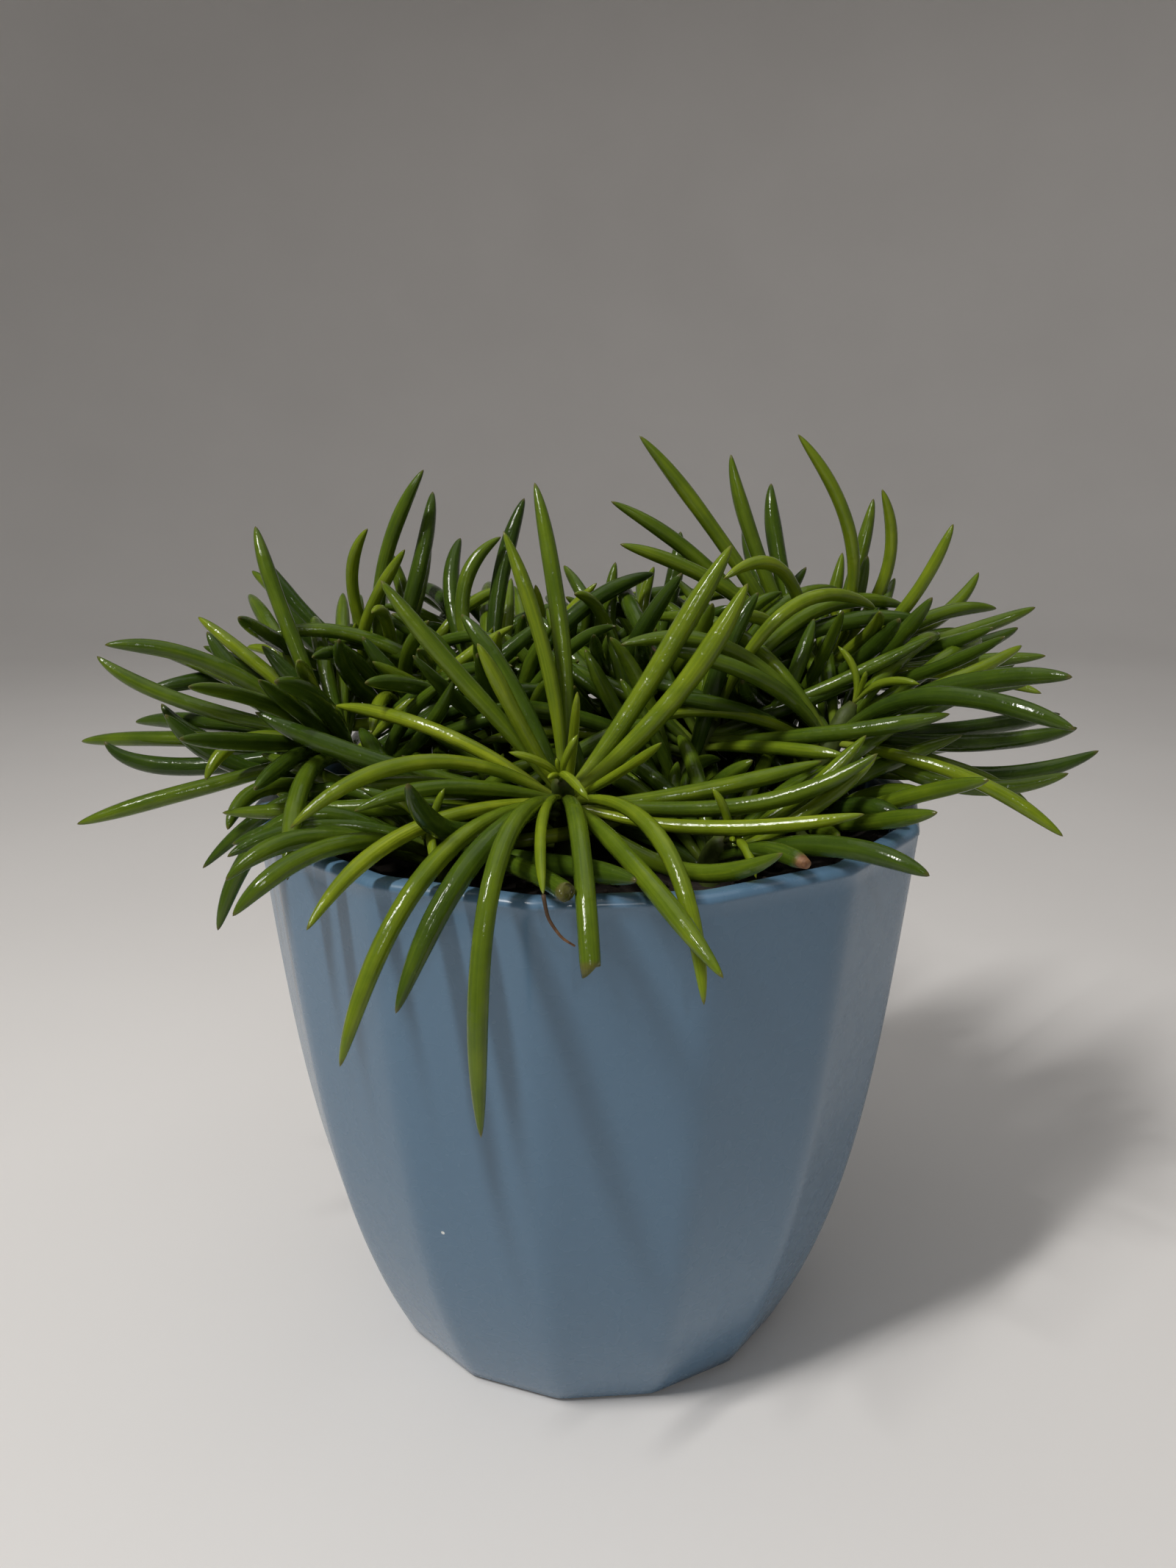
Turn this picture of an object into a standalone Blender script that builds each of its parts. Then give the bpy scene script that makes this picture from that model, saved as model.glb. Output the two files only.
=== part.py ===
"""Bush senecio growing in a faceted, glazed pot.

The pot, the soil and each leafy stem are objects of their own. Lengths in the tables and functions are
millimetres, and MM turns them into Blender's metres. The origin is the middle of the pot's base, +Z is
up and -Y is the front.
"""

import math

import bmesh
import bpy
import numpy as np

MM = 0.001

# The pot: a cup with flat facets between its ridges. Its radii are measured to a ridge.
FACETS = 15
FIRST_RIDGE = math.radians(-7.7)
POT_HEIGHT = 114.0
RIM_RADIUS = 67.5
BASE_RADIUS = 44.0
EVEN_FLARE = 0.45
BELLY_POWER = 3.7
WALL = 4.4
FLOOR = 6.0
EDGE_ROUND = 1.1
EDGE_CORNER = 0.3
BASE_CORNER = 0.6
OUTER_RINGS = 10
INNER_RINGS = 7

# The soil, and the plain holes that the stems stand in.
GAP = 0.3
SOIL_TOP = 106.0
HOLE_DEPTH = 15.0
ABOVE_SOIL = 1.0
SOIL_RINGS = 4

# Stems and leaves. A leaf's rings are shares of its length, and its shape is its width there.
STEM_SIDES = 8
STEM_RADIUS = 2.6
STEM_TIP_RADIUS = 1.9
STEM_TIP_ROUND = 0.5
AXIS_POINTS = 13
LENGTH_STEPS = 17
STEM_STRIDE = 3
LEAF_SIDES = 5
LEAF_RINGS = (0.0, 0.24, 0.58, 0.88, 1.0)
LEAF_SHAPE = (0.52, 0.84, 1.0, 0.84, 0.0)
CUT_END = 0.85
WIDTH = {"new": 1.9, "young": 2.9, "grown": 3.4, "broad": 4.2, "old": 3.9, "cut": 3.5, "dried": 3.2}
BLUNT = ("cut", "dried")
LEAST_LENGTH = 40.0
LEAST_YOUNG = 27.0
SHORT = ("new", "young", "dried")
ROOT_OUT = 0.9
ROOT_BELOW_HEAD = 2.0
ROOT_DROP = 4.0
HANG_CLEAR = 4.0
HANG_OUT = 0.45
HANG_UP = 0.58
TUBE_GUIDE = (0.31, 0.95, 0.08)

# How leaves are bent clear of each other, of the pot and of the soil.
SETTLE_ROUNDS = 320
REMEASURE = 20
STRANGERS_ROUNDS = 50
BEND_STEP = 0.72
TIP_STEP = 0.63
CLEAR_OTHERS = 0.9
CLEAR_SISTERS = 0.25
CLEAR_POT = 0.8
HANG = 0.12
REACH = 20.0
PLACES = 19
FIRST_PLACE = 0.35

# Leaves that a rule adds where the hand-placed ones leave room.
SEED = 7
EVEN_STEPS = (0.7548777, 0.5698403)
FILL_SPREAD = math.radians(19.0)
FILL_TRIES = 400
FILL_RISE = (math.radians(-16.0), math.radians(54.0))
FILL_LENGTH = 38.0
FILL_LONGER = 16.0
FILL_VARIES = (0.88, 1.08)
FILL_BOWS = ((-2.0, -2.0, 1.0), (2.0, 2.0, 5.0))
FILL_AGES = ("grown", "old", "young", "grown", "old", "young", "grown")
FILL_LOW = 113.0
FILL_TOP = 147.0
FRONT_LOWER = 0.55
FILL_OUT = 98.0
FILL_FRONT = -50.0
CLEARINGS = ((-30.0, 22.0, -100.0, -22.0), (20.0, 74.0, -60.0, -8.0))
OUTER_HEAD = 55.0

# Each stem: its foot in the soil (x, y), its head (x, y, z) and how many leaves it carries.
STEMS = {
    "leafy_stem_front": ((-4, -26), (-5, -36, 125), 28),
    "leafy_stem_front_left": ((-27, -34), (-27, -43, 118), 17),
    "leafy_stem_front_right": ((22, -33), (24, -37, 114), 17),
    "leafy_stem_left": ((-43, -4), (-55, -3, 128), 27),
    "leafy_stem_back_left": ((-38, 24), (-49, 28, 133), 23),
    "leafy_stem_middle_left": ((-17, 8), (-22, 18, 131), 23),
    "leafy_stem_middle_back": ((8, 20), (12, 24, 130), 23),
    "leafy_stem_middle_right": ((18, -8), (26, -2, 130), 23),
    "leafy_stem_right": ((44, -10), (52, -8, 133), 26),
    "leafy_stem_right_back": ((40, 18), (53, 19, 138), 30),
    "leafy_stem_back": ((-12, 42), (-14, 50, 128), 20),
    "leafy_stem_back_right": ((24, 44), (27, 52, 128), 20),
}

# Hand-placed leaves: the tip's x, y, z, how far the middle bows to +X and up, and the leaf's age.
LEAVES = {
    "leafy_stem_front": (
        (-36, -30, 159, -1, 1, "grown"),
        (-15, -25, 167, 2, 2, "young"),
        (-10, -12, 175, 2, 3, "grown"),
        (-19, -36, 149, 0, -1, "young"),
        (-2, -38, 141, 0, 0, "new"),
        (26, -18, 164, 0, -3, "broad"),
        (28, -24, 158, 1, -3, "broad"),
        (12, -46, 134, 1, 0, "new"),
        (50, -38, 130, 3, -5, "grown"),
        (43, -24, 126, 1, -2, "grown"),
        (30, -62, 120, 0, -8, "grown"),
        (46, -48, 117, 0, -4, "young"),
        (19, -82, 108, -2, -1, "grown"),
        (16, -77, 101, 3, 1, "young"),
        (0, -77, 106, 1, 0, "cut"),
        (-6, -73, 117, -2, 4, "new"),
        (-16, -79, 80, -1, 0, "grown"),
        (-38, -76, 91, 0, -1, "grown"),
        (-30, -75, 99, -1, -2, "old"),
        (-41, -72, 110, -1, 1, "young"),
        (-25, -66, 130, -3, -11, "old"),
        (-48, -55, 122, -2, 9, "young"),
        (-66, -32, 122, -1, 0, "grown"),
        (-60, -28, 135, -4, -3, "old"),
        (-49, -12, 133, 0, 2, "young"),
        (-24, -14, 151, 3, -2, "old"),
    ),
    "leafy_stem_front_left": (
        (-58, -58, 114, 0, 0, "grown"),
        (-56, -63, 110, 0, 0, "grown"),
        (-3, -72, 119, 2, -1, "cut"),
        (7, -70, 120, 4, -2, "old"),
        (-47, -47, 118, -3, 0, "grown"),
    ),
    "leafy_stem_front_right": (
        (53, -62, 117, 0, -1, "old"),
        (50, -35, 129, 0, -2, "young"),
        (50, -28, 131, 0, -2, "young"),
        (35, -57, 114, 0, -1, "dried"),
    ),
    "leafy_stem_left": (
        (-99, 0, 141, -6, -1, "grown"),
        (-92, 10, 137, -4, 3, "grown"),
        (-106, 5, 122, -6, -1, "grown"),
        (-97, -6, 125, -8, -4, "old"),
        (-98, -20, 112, -1, 0, "grown"),
        (-99, 14, 124, -5, 1, "old"),
        (-89, 8, 130, -6, -3, "old"),
        (-76, 0, 146, -3, -1, "old"),
        (-80, 6, 148, 0, 1, "young"),
        (-76, 30, 150, -2, 5, "grown"),
        (-68, 10, 166, -2, 4, "grown"),
        (-72, -22, 121, -4, 5, "young"),
        (-66, -30, 114, -3, 4, "grown"),
        (-49, -51, 110, 1, 3, "grown"),
        (-64, -6, 144, 1, 2, "old"),
        (-84, 22, 139, -5, 0, "grown"),
        (-81, -13, 133, -4, -3, "old"),
    ),
    "leafy_stem_back_left": (
        (-36, 30, 177, -5, 2, "grown"),
        (-47, 18, 165, -6, 3, "young"),
        (-35, 38, 172, 2, 2, "old"),
        (-37, 46, 163, 2, 0, "grown"),
        (-46, 35, 160, 3, -1, "grown"),
        (-39, 16, 161, -8, -3, "young"),
        (-79, 44, 154, -2, 2, "grown"),
        (-72, 32, 159, -2, 4, "old"),
        (-67, 22, 151, -2, 1, "old"),
        (-78, 33, 137, -8, 3, "young"),
    ),
    "leafy_stem_middle_left": (
        (-14, 30, 171, -2, 1, "old"),
        (-29, 36, 162, -5, 2, "old"),
        (-19, 24, 163, -8, 5, "grown"),
        (-15, 36, 153, 1, 0, "grown"),
        (-48, 4, 144, -1, 1, "old"),
        (-44, -2, 138, -2, 0, "young"),
        (-6, 8, 147, -1, 2, "grown"),
    ),
    "leafy_stem_middle_back": (
        (5, 32, 157, -6, 2, "grown"),
        (-7, 16, 153, -1, 7, "young"),
        (15, 33, 156, 1, 1, "young"),
        (19, 0, 158, -4, -4, "old"),
        (-9, 10, 143, 0, 4, "grown"),
        (-6, 44, 155, 0, 1, "grown"),
        (22, 36, 163, 2, 2, "old"),
        (30, 14, 150, 1, 2, "old"),
    ),
    "leafy_stem_middle_right": (
        (68, -22, 134, 5, 0, "grown"),
        (47, -26, 126, 0, 1, "young"),
        (29, -28, 125, -3, -1, "grown"),
        (32, 2, 153, 2, 2, "old"),
        (0, -8, 144, 0, 1, "grown"),
    ),
    "leafy_stem_right": (
        (103, -5, 123, 3, -5, "old"),
        (102, 5, 125, 2, -3, "old"),
        (102, 14, 126, -1, -2, "old"),
        (92, -17, 122, 0, -4, "grown"),
        (85, -33, 113, -1, 2, "young"),
        (87, -13, 114, 1, 3, "grown"),
        (69, -37, 125, -1, -4, "grown"),
        (58, -45, 121, -4, -6, "grown"),
        (64, -24, 117, 0, 0, "grown"),
        (58, -30, 114, 0, 0, "old"),
        (46, -34, 114, 0, 0, "grown"),
    ),
    "leafy_stem_right_back": (
        (42, 12, 184, 6, 0, "young"),
        (61, 18, 173, 6, -1, "young"),
        (62, 30, 171, 1, 0, "grown"),
        (74, 12, 167, 0, -3, "young"),
        (87, 30, 155, 5, -2, "grown"),
        (69, 4, 153, 2, -2, "old"),
        (95, 14, 148, 3, 0, "grown"),
        (90, 26, 147, 2, 3, "grown"),
        (95, 8, 140, 2, 0, "grown"),
        (91, -2, 134, 1, 3, "young"),
        (96, 28, 143, 3, -1, "old"),
        (93, 18, 138, 6, -3, "old"),
        (30, 24, 180, -4, 4, "grown"),
        (40, 32, 174, -3, 4, "old"),
        (36, 40, 167, -4, 3, "old"),
        (10, 18, 183, -4, 2, "grown"),
        (5, 20, 171, 0, 2, "grown"),
        (7, 12, 163, 4, 5, "grown"),
        (27, 0, 156, 7, 11, "young"),
        (24, -6, 144, 0, 3, "young"),
        (60, -10, 147, 2, -1, "old"),
        (27, -18, 133, 1, 0, "old"),
        (59, 16, 159, 1, -1, "old"),
        (56, 30, 160, 1, 0, "grown"),
        (56, -6, 112, 0, 4, "young"),
        (46, -8, 120, -2, 2, "young"),
    ),
    "leafy_stem_back": (),
    "leafy_stem_back_right": (),
}

# A plain colour, roughness and metallic share for each kind of object.
GLAZE = ((0.16, 0.27, 0.42), 0.32, 0.0)
SOIL = ((0.02, 0.014, 0.01), 0.95, 0.0)
BRIGHT_LEAF = ((0.19, 0.3, 0.03), 0.38, 0.0)
DARK_LEAF = ((0.07, 0.15, 0.03), 0.38, 0.0)
BRIGHT_STEMS = ("leafy_stem_front", "leafy_stem_right_back")


def clear_scene():
    for obj in list(bpy.data.objects):
        bpy.data.objects.remove(obj, do_unlink=True)


def material(name, finish):
    colour, roughness, metallic = finish
    made = bpy.data.materials.new(name)
    made.use_nodes = True
    shader = made.node_tree.nodes["Principled BSDF"]
    shader.inputs["Base Color"].default_value = (*colour, 1.0)
    shader.inputs["Roughness"].default_value = roughness
    shader.inputs["Metallic"].default_value = metallic
    return made


def object_of(name, points, faces, finish=None, collection=None):
    """A mesh object from points in millimetres, with its faces turned outwards."""
    mesh = bpy.data.meshes.new(name)
    mesh.from_pydata([tuple(point * MM) for point in points], [], faces)
    work = bmesh.new()
    work.from_mesh(mesh)
    bmesh.ops.recalc_face_normals(work, faces=work.faces)
    work.to_mesh(mesh)
    work.free()
    made = bpy.data.objects.new(name, mesh)
    (collection or bpy.context.scene.collection).objects.link(made)
    if finish:
        mesh.materials.append(material(name, finish))
    return made


def rings_to_faces(rings, sides, pointed=False):
    """Quads between neighbouring rings, with a flat cap on the first ring and a cap or point at the end."""
    faces = [tuple(range(sides))]
    for low in range(0, (rings - 1) * sides, sides):
        for k in range(sides):
            after = (k + 1) % sides
            faces.append((low + k, low + after, low + sides + after, low + sides + k))
    last = (rings - 1) * sides
    if pointed:
        faces += [(last + k, last + (k + 1) % sides, last + sides) for k in range(sides)]
    else:
        faces.append(tuple(range(last, last + sides)))
    return faces


def unit(vectors):
    """The vectors at length 1. A vector of no length stays as it is."""
    return vectors / np.maximum(np.linalg.norm(vectors, axis=-1, keepdims=True), 1e-6)


def curve(start, bend, end, share):
    """Points on the curve from start to end that a bend point pulls aside."""
    return (1.0 - share) ** 2 * start + 2.0 * share * (1.0 - share) * bend + share**2 * end


def even_shares(root, bend, tip, shares):
    """The shares of each curve at which the given shares of its length lie."""
    steps = np.linspace(0.0, 1.0, LENGTH_STEPS)
    points = curve(root[:, None], bend[:, None], tip[:, None], steps[None, :, None])
    lengths = np.linalg.norm(np.diff(points, axis=1), axis=2).cumsum(axis=1)
    lengths = np.column_stack([np.zeros(len(root)), lengths]) / lengths[:, -1:]
    return np.array([np.interp(shares, row, steps) for row in lengths])


def ridge_radius(height):
    """The pot's radius at a height, measured outside to a ridge."""
    share = np.clip(np.asarray(height) / POT_HEIGHT, 0.0, 1.0)
    flare = EVEN_FLARE * share + (1.0 - EVEN_FLARE) * (1.0 - (1.0 - share) ** BELLY_POWER)
    return BASE_RADIUS + (RIM_RADIUS - BASE_RADIUS) * flare


def facet_ring(radius, height):
    turn = FIRST_RIDGE + 2.0 * math.pi * np.arange(FACETS) / FACETS
    return np.stack([radius * np.sin(turn), -radius * np.cos(turn), np.full(FACETS, height)], axis=1)


def facet_share(points):
    """How far out the facets lie in each point's direction, as a share of the radius to a ridge."""
    half = math.pi / FACETS
    turn = np.arctan2(points[:, 0], -points[:, 1]) - FIRST_RIDGE
    return math.cos(half) / np.cos(np.mod(turn, 2.0 * half) - half)


def pot():
    """The cup: its base edge, outer wall, rounded rim and inner wall, closed by its floor."""
    low, high = EDGE_ROUND, POT_HEIGHT - EDGE_ROUND
    corner = EDGE_CORNER * EDGE_ROUND
    rim_inside = RIM_RADIUS - WALL
    profile = [(BASE_RADIUS - BASE_CORNER * EDGE_ROUND, 0.0)]
    profile += [(ridge_radius(z), z) for z in np.linspace(low, high, OUTER_RINGS)]
    profile += [(RIM_RADIUS - corner, POT_HEIGHT - corner), (RIM_RADIUS - EDGE_ROUND, POT_HEIGHT)]
    profile += [(rim_inside + EDGE_ROUND, POT_HEIGHT), (rim_inside + corner, POT_HEIGHT - corner)]
    profile += [(ridge_radius(z) - WALL, z) for z in np.linspace(high, FLOOR, INNER_RINGS)]
    points = np.concatenate([facet_ring(radius, z) for radius, z in profile])
    object_of("pot", points, rings_to_faces(len(profile), FACETS), GLAZE)


def stem_rings(centres, radii):
    """Level rings round the centres. All have their corners in the same directions."""
    turn = 2.0 * math.pi * np.arange(STEM_SIDES) / STEM_SIDES
    around = np.stack([np.cos(turn), np.sin(turn), np.zeros(STEM_SIDES)], axis=1)
    centres = np.asarray(centres, float)
    return (centres[:, None] + np.asarray(radii)[:, None, None] * around).reshape(-1, 3)


def soil():
    """The soil fills the pot to just below its rim, with a plain hole for each stem."""
    heights = np.linspace(FLOOR + GAP, SOIL_TOP, SOIL_RINGS)
    points = np.concatenate([facet_ring(ridge_radius(z) - WALL - GAP, z) for z in heights])
    bed = object_of("soil", points, rings_to_faces(SOIL_RINGS, FACETS), SOIL)
    cutters = bpy.data.collections.new("stem_holes")
    for name, (foot, _, _) in STEMS.items():
        ends = [(*foot, SOIL_TOP - HOLE_DEPTH), (*foot, SOIL_TOP + ABOVE_SOIL)]
        hole = stem_rings(ends, [STEM_RADIUS + GAP] * 2)
        object_of("hole_" + name, hole, rings_to_faces(2, STEM_SIDES), collection=cutters)
    combine(bed, cutters, "DIFFERENCE")


def combine(base, collection, operation):
    """Applies one Boolean of the collection's objects to the base, and removes those objects."""
    boolean = base.modifiers.new(operation.title(), "BOOLEAN")
    boolean.operation = operation
    boolean.operand_type = "COLLECTION"
    boolean.collection = collection
    boolean.solver = "EXACT"
    bpy.context.view_layer.update()
    evaluated = base.evaluated_get(bpy.context.evaluated_depsgraph_get())
    result = bpy.data.meshes.new_from_object(evaluated)
    result.name = base.name
    base.modifiers.clear()
    base.data = result
    for obj in list(collection.objects):
        bpy.data.objects.remove(obj, do_unlink=True)
    bpy.data.collections.remove(collection)


def keep_largest_body(obj):
    """Deletes the faces of sealed hollows and of loose scraps, so that one closed body is left."""
    work = bmesh.new()
    work.from_mesh(obj.data)
    left = set(work.verts)
    bodies = []
    while left:
        body, edge = set(), {next(iter(left))}
        while edge:
            body |= edge
            edge = {e.other_vert(v) for v in edge for e in v.link_edges} - body
        bodies.append(body)
        left -= body
    bodies.sort(key=len)
    scraps = [vert for body in bodies[:-1] for vert in body]
    bmesh.ops.delete(work, geom=scraps, context="VERTS")
    work.to_mesh(obj.data)
    work.free()


def stem_axis(name):
    """The stem's axis above the soil: upright at the soil, then leaning over to its head."""
    foot, head, _ = STEMS[name]
    start = np.array([*foot, SOIL_TOP + ABOVE_SOIL])
    head = np.asarray(head, float)
    bend = np.array([*foot, 0.5 * (start[2] + head[2])])
    return curve(start, bend, head, np.linspace(0.0, 1.0, AXIS_POINTS)[:, None])


def leaf_radii(age):
    """A leaf's radius at each of its rings. One that was cut or has dried ends bluntly."""
    shape = np.array(LEAF_SHAPE)
    if age in BLUNT:
        shape[-2:] = CUT_END
    return 0.5 * WIDTH[age] * shape


def root_of(axis, tip, age):
    """Where a leaf leaves its stem: lower the more it hangs, and low enough for a leaf of full length."""
    lengths = np.linalg.norm(np.diff(axis, axis=0), axis=1)
    below = np.concatenate([[0.0], np.cumsum(lengths[::-1])])
    turned = math.acos(np.clip(unit(tip - axis[-1]) @ unit(axis[-1] - axis[-3]), -1.0, 1.0))
    highest = ROOT_BELOW_HEAD + ROOT_DROP * turned
    for depth in np.linspace(highest, below[-1] - ROOT_BELOW_HEAD, AXIS_POINTS):
        point = np.array([np.interp(depth, below, axis[::-1, k]) for k in range(3)])
        if np.linalg.norm(tip - point) >= (LEAST_YOUNG if age in SHORT else LEAST_LENGTH):
            break
    return point + unit(tip - point) * ROOT_OUT


def leaf_of(name, tip, bow, age):
    """A leaf of a stem: its root, the bend point that bows its middle aside, its tip and its age."""
    root = root_of(stem_axis(name), tip, age)
    bend = 0.5 * (root + tip) + 2.0 * np.asarray(bow, float)
    return {"stem": name, "root": root, "bend": bend, "tip": tip, "age": age}


def hanging_bow(root, tip):
    """How far a leaf bows outwards and up over the rim, where a straight one would pass through it."""
    near, far = math.hypot(root[0], root[1]), math.hypot(tip[0], tip[1])
    if far < RIM_RADIUS:
        return np.zeros(3)
    over_rim = root[2] + (tip[2] - root[2]) * (RIM_RADIUS - near) / (far - near)
    lack = max(0.0, POT_HEIGHT + HANG_CLEAR - over_rim)
    outwards = HANG_OUT * lack
    return np.array([outwards * tip[0] / far, outwards * tip[1] / far, HANG_UP * lack])


def placed_leaves(name):
    """The hand-placed leaves of a stem."""
    leaves = []
    for x, y, z, side, rise, age in LEAVES[name]:
        leaf = leaf_of(name, np.array([x, y, z], float), (side, 0.0, rise), age)
        leaf["bend"] += 2.0 * hanging_bow(leaf["root"], leaf["tip"])
        leaves.append(leaf)
    return leaves


def fill_length(direction, head):
    """How long an added leaf may be: longer where nothing hides it from the sides or the back."""
    backward = max(0.0, direction[1])
    sideways = abs(direction[0] * head[0]) / OUTER_HEAD
    return FILL_LENGTH + FILL_LONGER * min(1.0, backward + sideways)


def has_room(tip):
    """Whether an added leaf may end here: in no clearing, not at the very front and not too far out."""
    if tip[1] < FILL_FRONT or math.hypot(tip[0], tip[1]) > FILL_OUT:
        return False
    return not any(left < tip[0] < right and front < tip[1] < back for left, right, front, back in CLEARINGS)


def added_leaves(name, taken, draw):
    """Leaves spread evenly round the stem, in the directions that no other leaf of it takes."""
    head = np.asarray(STEMS[name][1], float)
    top = FILL_TOP - FRONT_LOWER * max(0.0, -head[1])
    used = [unit(leaf["tip"] - head) for leaf in taken]
    leaves = []
    for k in range(FILL_TRIES):
        if len(taken) + len(leaves) >= STEMS[name][2]:
            break
        turn = 2.0 * math.pi * k * EVEN_STEPS[0]
        rise = FILL_RISE[0] + (FILL_RISE[1] - FILL_RISE[0]) * ((k * EVEN_STEPS[1]) % 1.0)
        level = math.cos(rise)
        direction = np.array([level * math.cos(turn), level * math.sin(turn), math.sin(rise)])
        if any(direction @ other > math.cos(FILL_SPREAD) for other in used):
            continue
        tip = head + direction * fill_length(direction, head) * draw.uniform(*FILL_VARIES)
        tip[2] = np.clip(tip[2], FILL_LOW, top)
        if not has_room(tip):
            continue
        bow = draw.uniform(*FILL_BOWS)
        leaves.append(leaf_of(name, tip, bow, FILL_AGES[k % len(FILL_AGES)]))
        used.append(direction)
    return leaves


def nearest_between(a0, a1, b0, b1):
    """The shares along segments a and b of their nearest points, and the vector from b's to a's."""
    da, db, gap = a1 - a0, b1 - b0, a0 - b0
    aa = (da * da).sum(axis=1)
    bb = (db * db).sum(axis=1)
    ab = (da * db).sum(axis=1)
    ag = (da * gap).sum(axis=1)
    bg = (db * gap).sum(axis=1)
    flat = np.maximum(aa * bb - ab * ab, 1e-9)
    s = np.clip((ab * bg - ag * bb) / flat, 0.0, 1.0)
    t = np.clip((ab * s + bg) / bb, 0.0, 1.0)
    s = np.clip((ab * t - ag) / aa, 0.0, 1.0)
    return s, t, gap + s[:, None] * da - t[:, None] * db


class Settling:
    """Bends the leaves until each is clear of its neighbours, of the stems, of the pot and of the soil."""

    def __init__(self, leaves):
        names = list(STEMS)
        self.root = np.array([leaf["root"] for leaf in leaves])
        self.bend = np.array([leaf["bend"] for leaf in leaves])
        self.tip = np.array([leaf["tip"] for leaf in leaves])
        self.stem = np.array([names.index(leaf["stem"]) for leaf in leaves])
        self.radius = np.array([leaf_radii(leaf["age"]) for leaf in leaves])
        pieces = len(LEAF_RINGS) - 1
        self.owner = np.repeat(np.arange(len(leaves)), pieces)
        self.piece = np.tile(np.arange(pieces), len(leaves))
        axes = np.stack([stem_axis(name)[::STEM_STRIDE] for name in names])
        self.axis_lows = axes[:, :-1].reshape(-1, 3)
        self.axis_highs = axes[:, 1:].reshape(-1, 3)
        axis_stem = np.repeat(np.arange(len(names)), axes.shape[1] - 1)
        self.strangers = np.nonzero(self.stem[self.owner][:, None] != axis_stem[None])

    def measure(self):
        """Finds where each leaf's rings lie on its curve now."""
        self.share = even_shares(self.root, self.bend, self.tip, LEAF_RINGS)

    def ring_centres(self):
        return curve(self.root[:, None], self.bend[:, None], self.tip[:, None], self.share[..., None])

    def segments(self):
        points = self.ring_centres()
        return points[:, :-1].reshape(-1, 3), points[:, 1:].reshape(-1, 3)

    def along(self, which, part):
        """The leaf's radius and the share of its curve, part of the way along each segment."""
        leaf, piece = self.owner[which], self.piece[which]
        radius = self.radius[leaf, piece] * (1.0 - part) + self.radius[leaf, piece + 1] * part
        return radius, self.share[leaf, piece] * (1.0 - part) + self.share[leaf, piece + 1] * part

    def push(self, leaf, share, move, tip_follows=1.0):
        """Moves each leaf's bend and tip so that its point at a share follows the move."""
        share = share[:, None]
        np.add.at(self.bend, leaf, BEND_STEP * move * 2.0 * share * (1.0 - share))
        np.add.at(self.tip, leaf, TIP_STEP * move * share**2 * tip_follows)

    def part_leaves(self, with_sisters):
        """Pushes leaves apart where they come too near. A stem's own leaves may meet at their roots."""
        starts, ends = self.segments()
        middle = 0.5 * (starts + ends)
        squares = (middle**2).sum(axis=1)
        apart = squares[:, None] + squares[None] - 2.0 * middle @ middle.T
        first, second = np.nonzero((apart < REACH**2) & (self.owner[:, None] < self.owner[None]))
        sisters = self.stem[self.owner[first]] == self.stem[self.owner[second]]
        at_root = np.minimum(self.piece[first], self.piece[second]) == 0
        keep = ~sisters | (~at_root & with_sisters)
        first, second, sisters = first[keep], second[keep], sisters[keep]
        s, t, between = nearest_between(starts[first], ends[first], starts[second], ends[second])
        radius_a, share_a = self.along(first, s)
        radius_b, share_b = self.along(second, t)
        need = radius_a + radius_b + np.where(sisters, CLEAR_SISTERS, CLEAR_OTHERS)
        lack = need - np.linalg.norm(between, axis=1)
        close = lack > 0.0
        move = unit(between[close]) * 0.5 * lack[close, None]
        self.push(self.owner[first[close]], share_a[close], move)
        self.push(self.owner[second[close]], share_b[close], -move)

    def leave_stems(self):
        """Pushes leaves clear of the other stems."""
        starts, ends = self.segments()
        which, axis = self.strangers
        lows, highs = self.axis_lows[axis], self.axis_highs[axis]
        s, _, between = nearest_between(starts[which], ends[which], lows, highs)
        radius, share = self.along(which, s)
        lack = radius + STEM_RADIUS + CLEAR_OTHERS - np.linalg.norm(between, axis=1)
        close = lack > 0.0
        move = unit(between[close]) * lack[close, None]
        self.push(self.owner[which[close]], share[close], move)

    def clear_pot_and_soil(self):
        """Lifts leaves over the rim and off the soil, and keeps those inside clear of the wall."""
        rings = np.arange(len(LEAF_RINGS))
        places = np.linspace(FIRST_PLACE, rings[-1], PLACES)
        between_rings = np.array([np.interp(places, rings, row) for row in np.eye(len(rings))])
        points = np.einsum("lrk,rs->lsk", self.ring_centres(), between_rings)
        share = self.share @ between_rings
        height = points[..., 2]
        radius = self.radius @ between_rings + CLEAR_POT
        flat = points.reshape(-1, 3)
        out = (np.hypot(flat[:, 0], flat[:, 1]) / facet_share(flat)).reshape(radius.shape)
        rim_inside = RIM_RADIUS - WALL
        crosses = out[:, -1:] > RIM_RADIUS - 0.5 * WALL
        on_rim = crosses & (out > rim_inside - radius) & (out < RIM_RADIUS + radius)
        self.lift(np.where(on_rim, POT_HEIGHT + radius - height, 0.0), share, HANG)
        self.lift(np.where(out < rim_inside, SOIL_TOP + radius - height, 0.0), share, 1.0)
        low_inside = ~crosses & (height < POT_HEIGHT + radius)
        deep = np.where(low_inside, out - (rim_inside - radius), 0.0)
        leaf, at = np.nonzero(deep > 0.0)
        inward = unit(points[leaf, at] * (-1.0, -1.0, 0.0))
        self.push(leaf, share[leaf, at], inward * deep[leaf, at][:, None])

    def lift(self, lack, share, tip_follows):
        """Raises the points that lack height."""
        leaf, at = np.nonzero(lack > 0.0)
        move = np.zeros((len(leaf), 3))
        move[:, 2] = 0.5 * lack[leaf, at]
        self.push(leaf, share[leaf, at], move, tip_follows)

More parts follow.
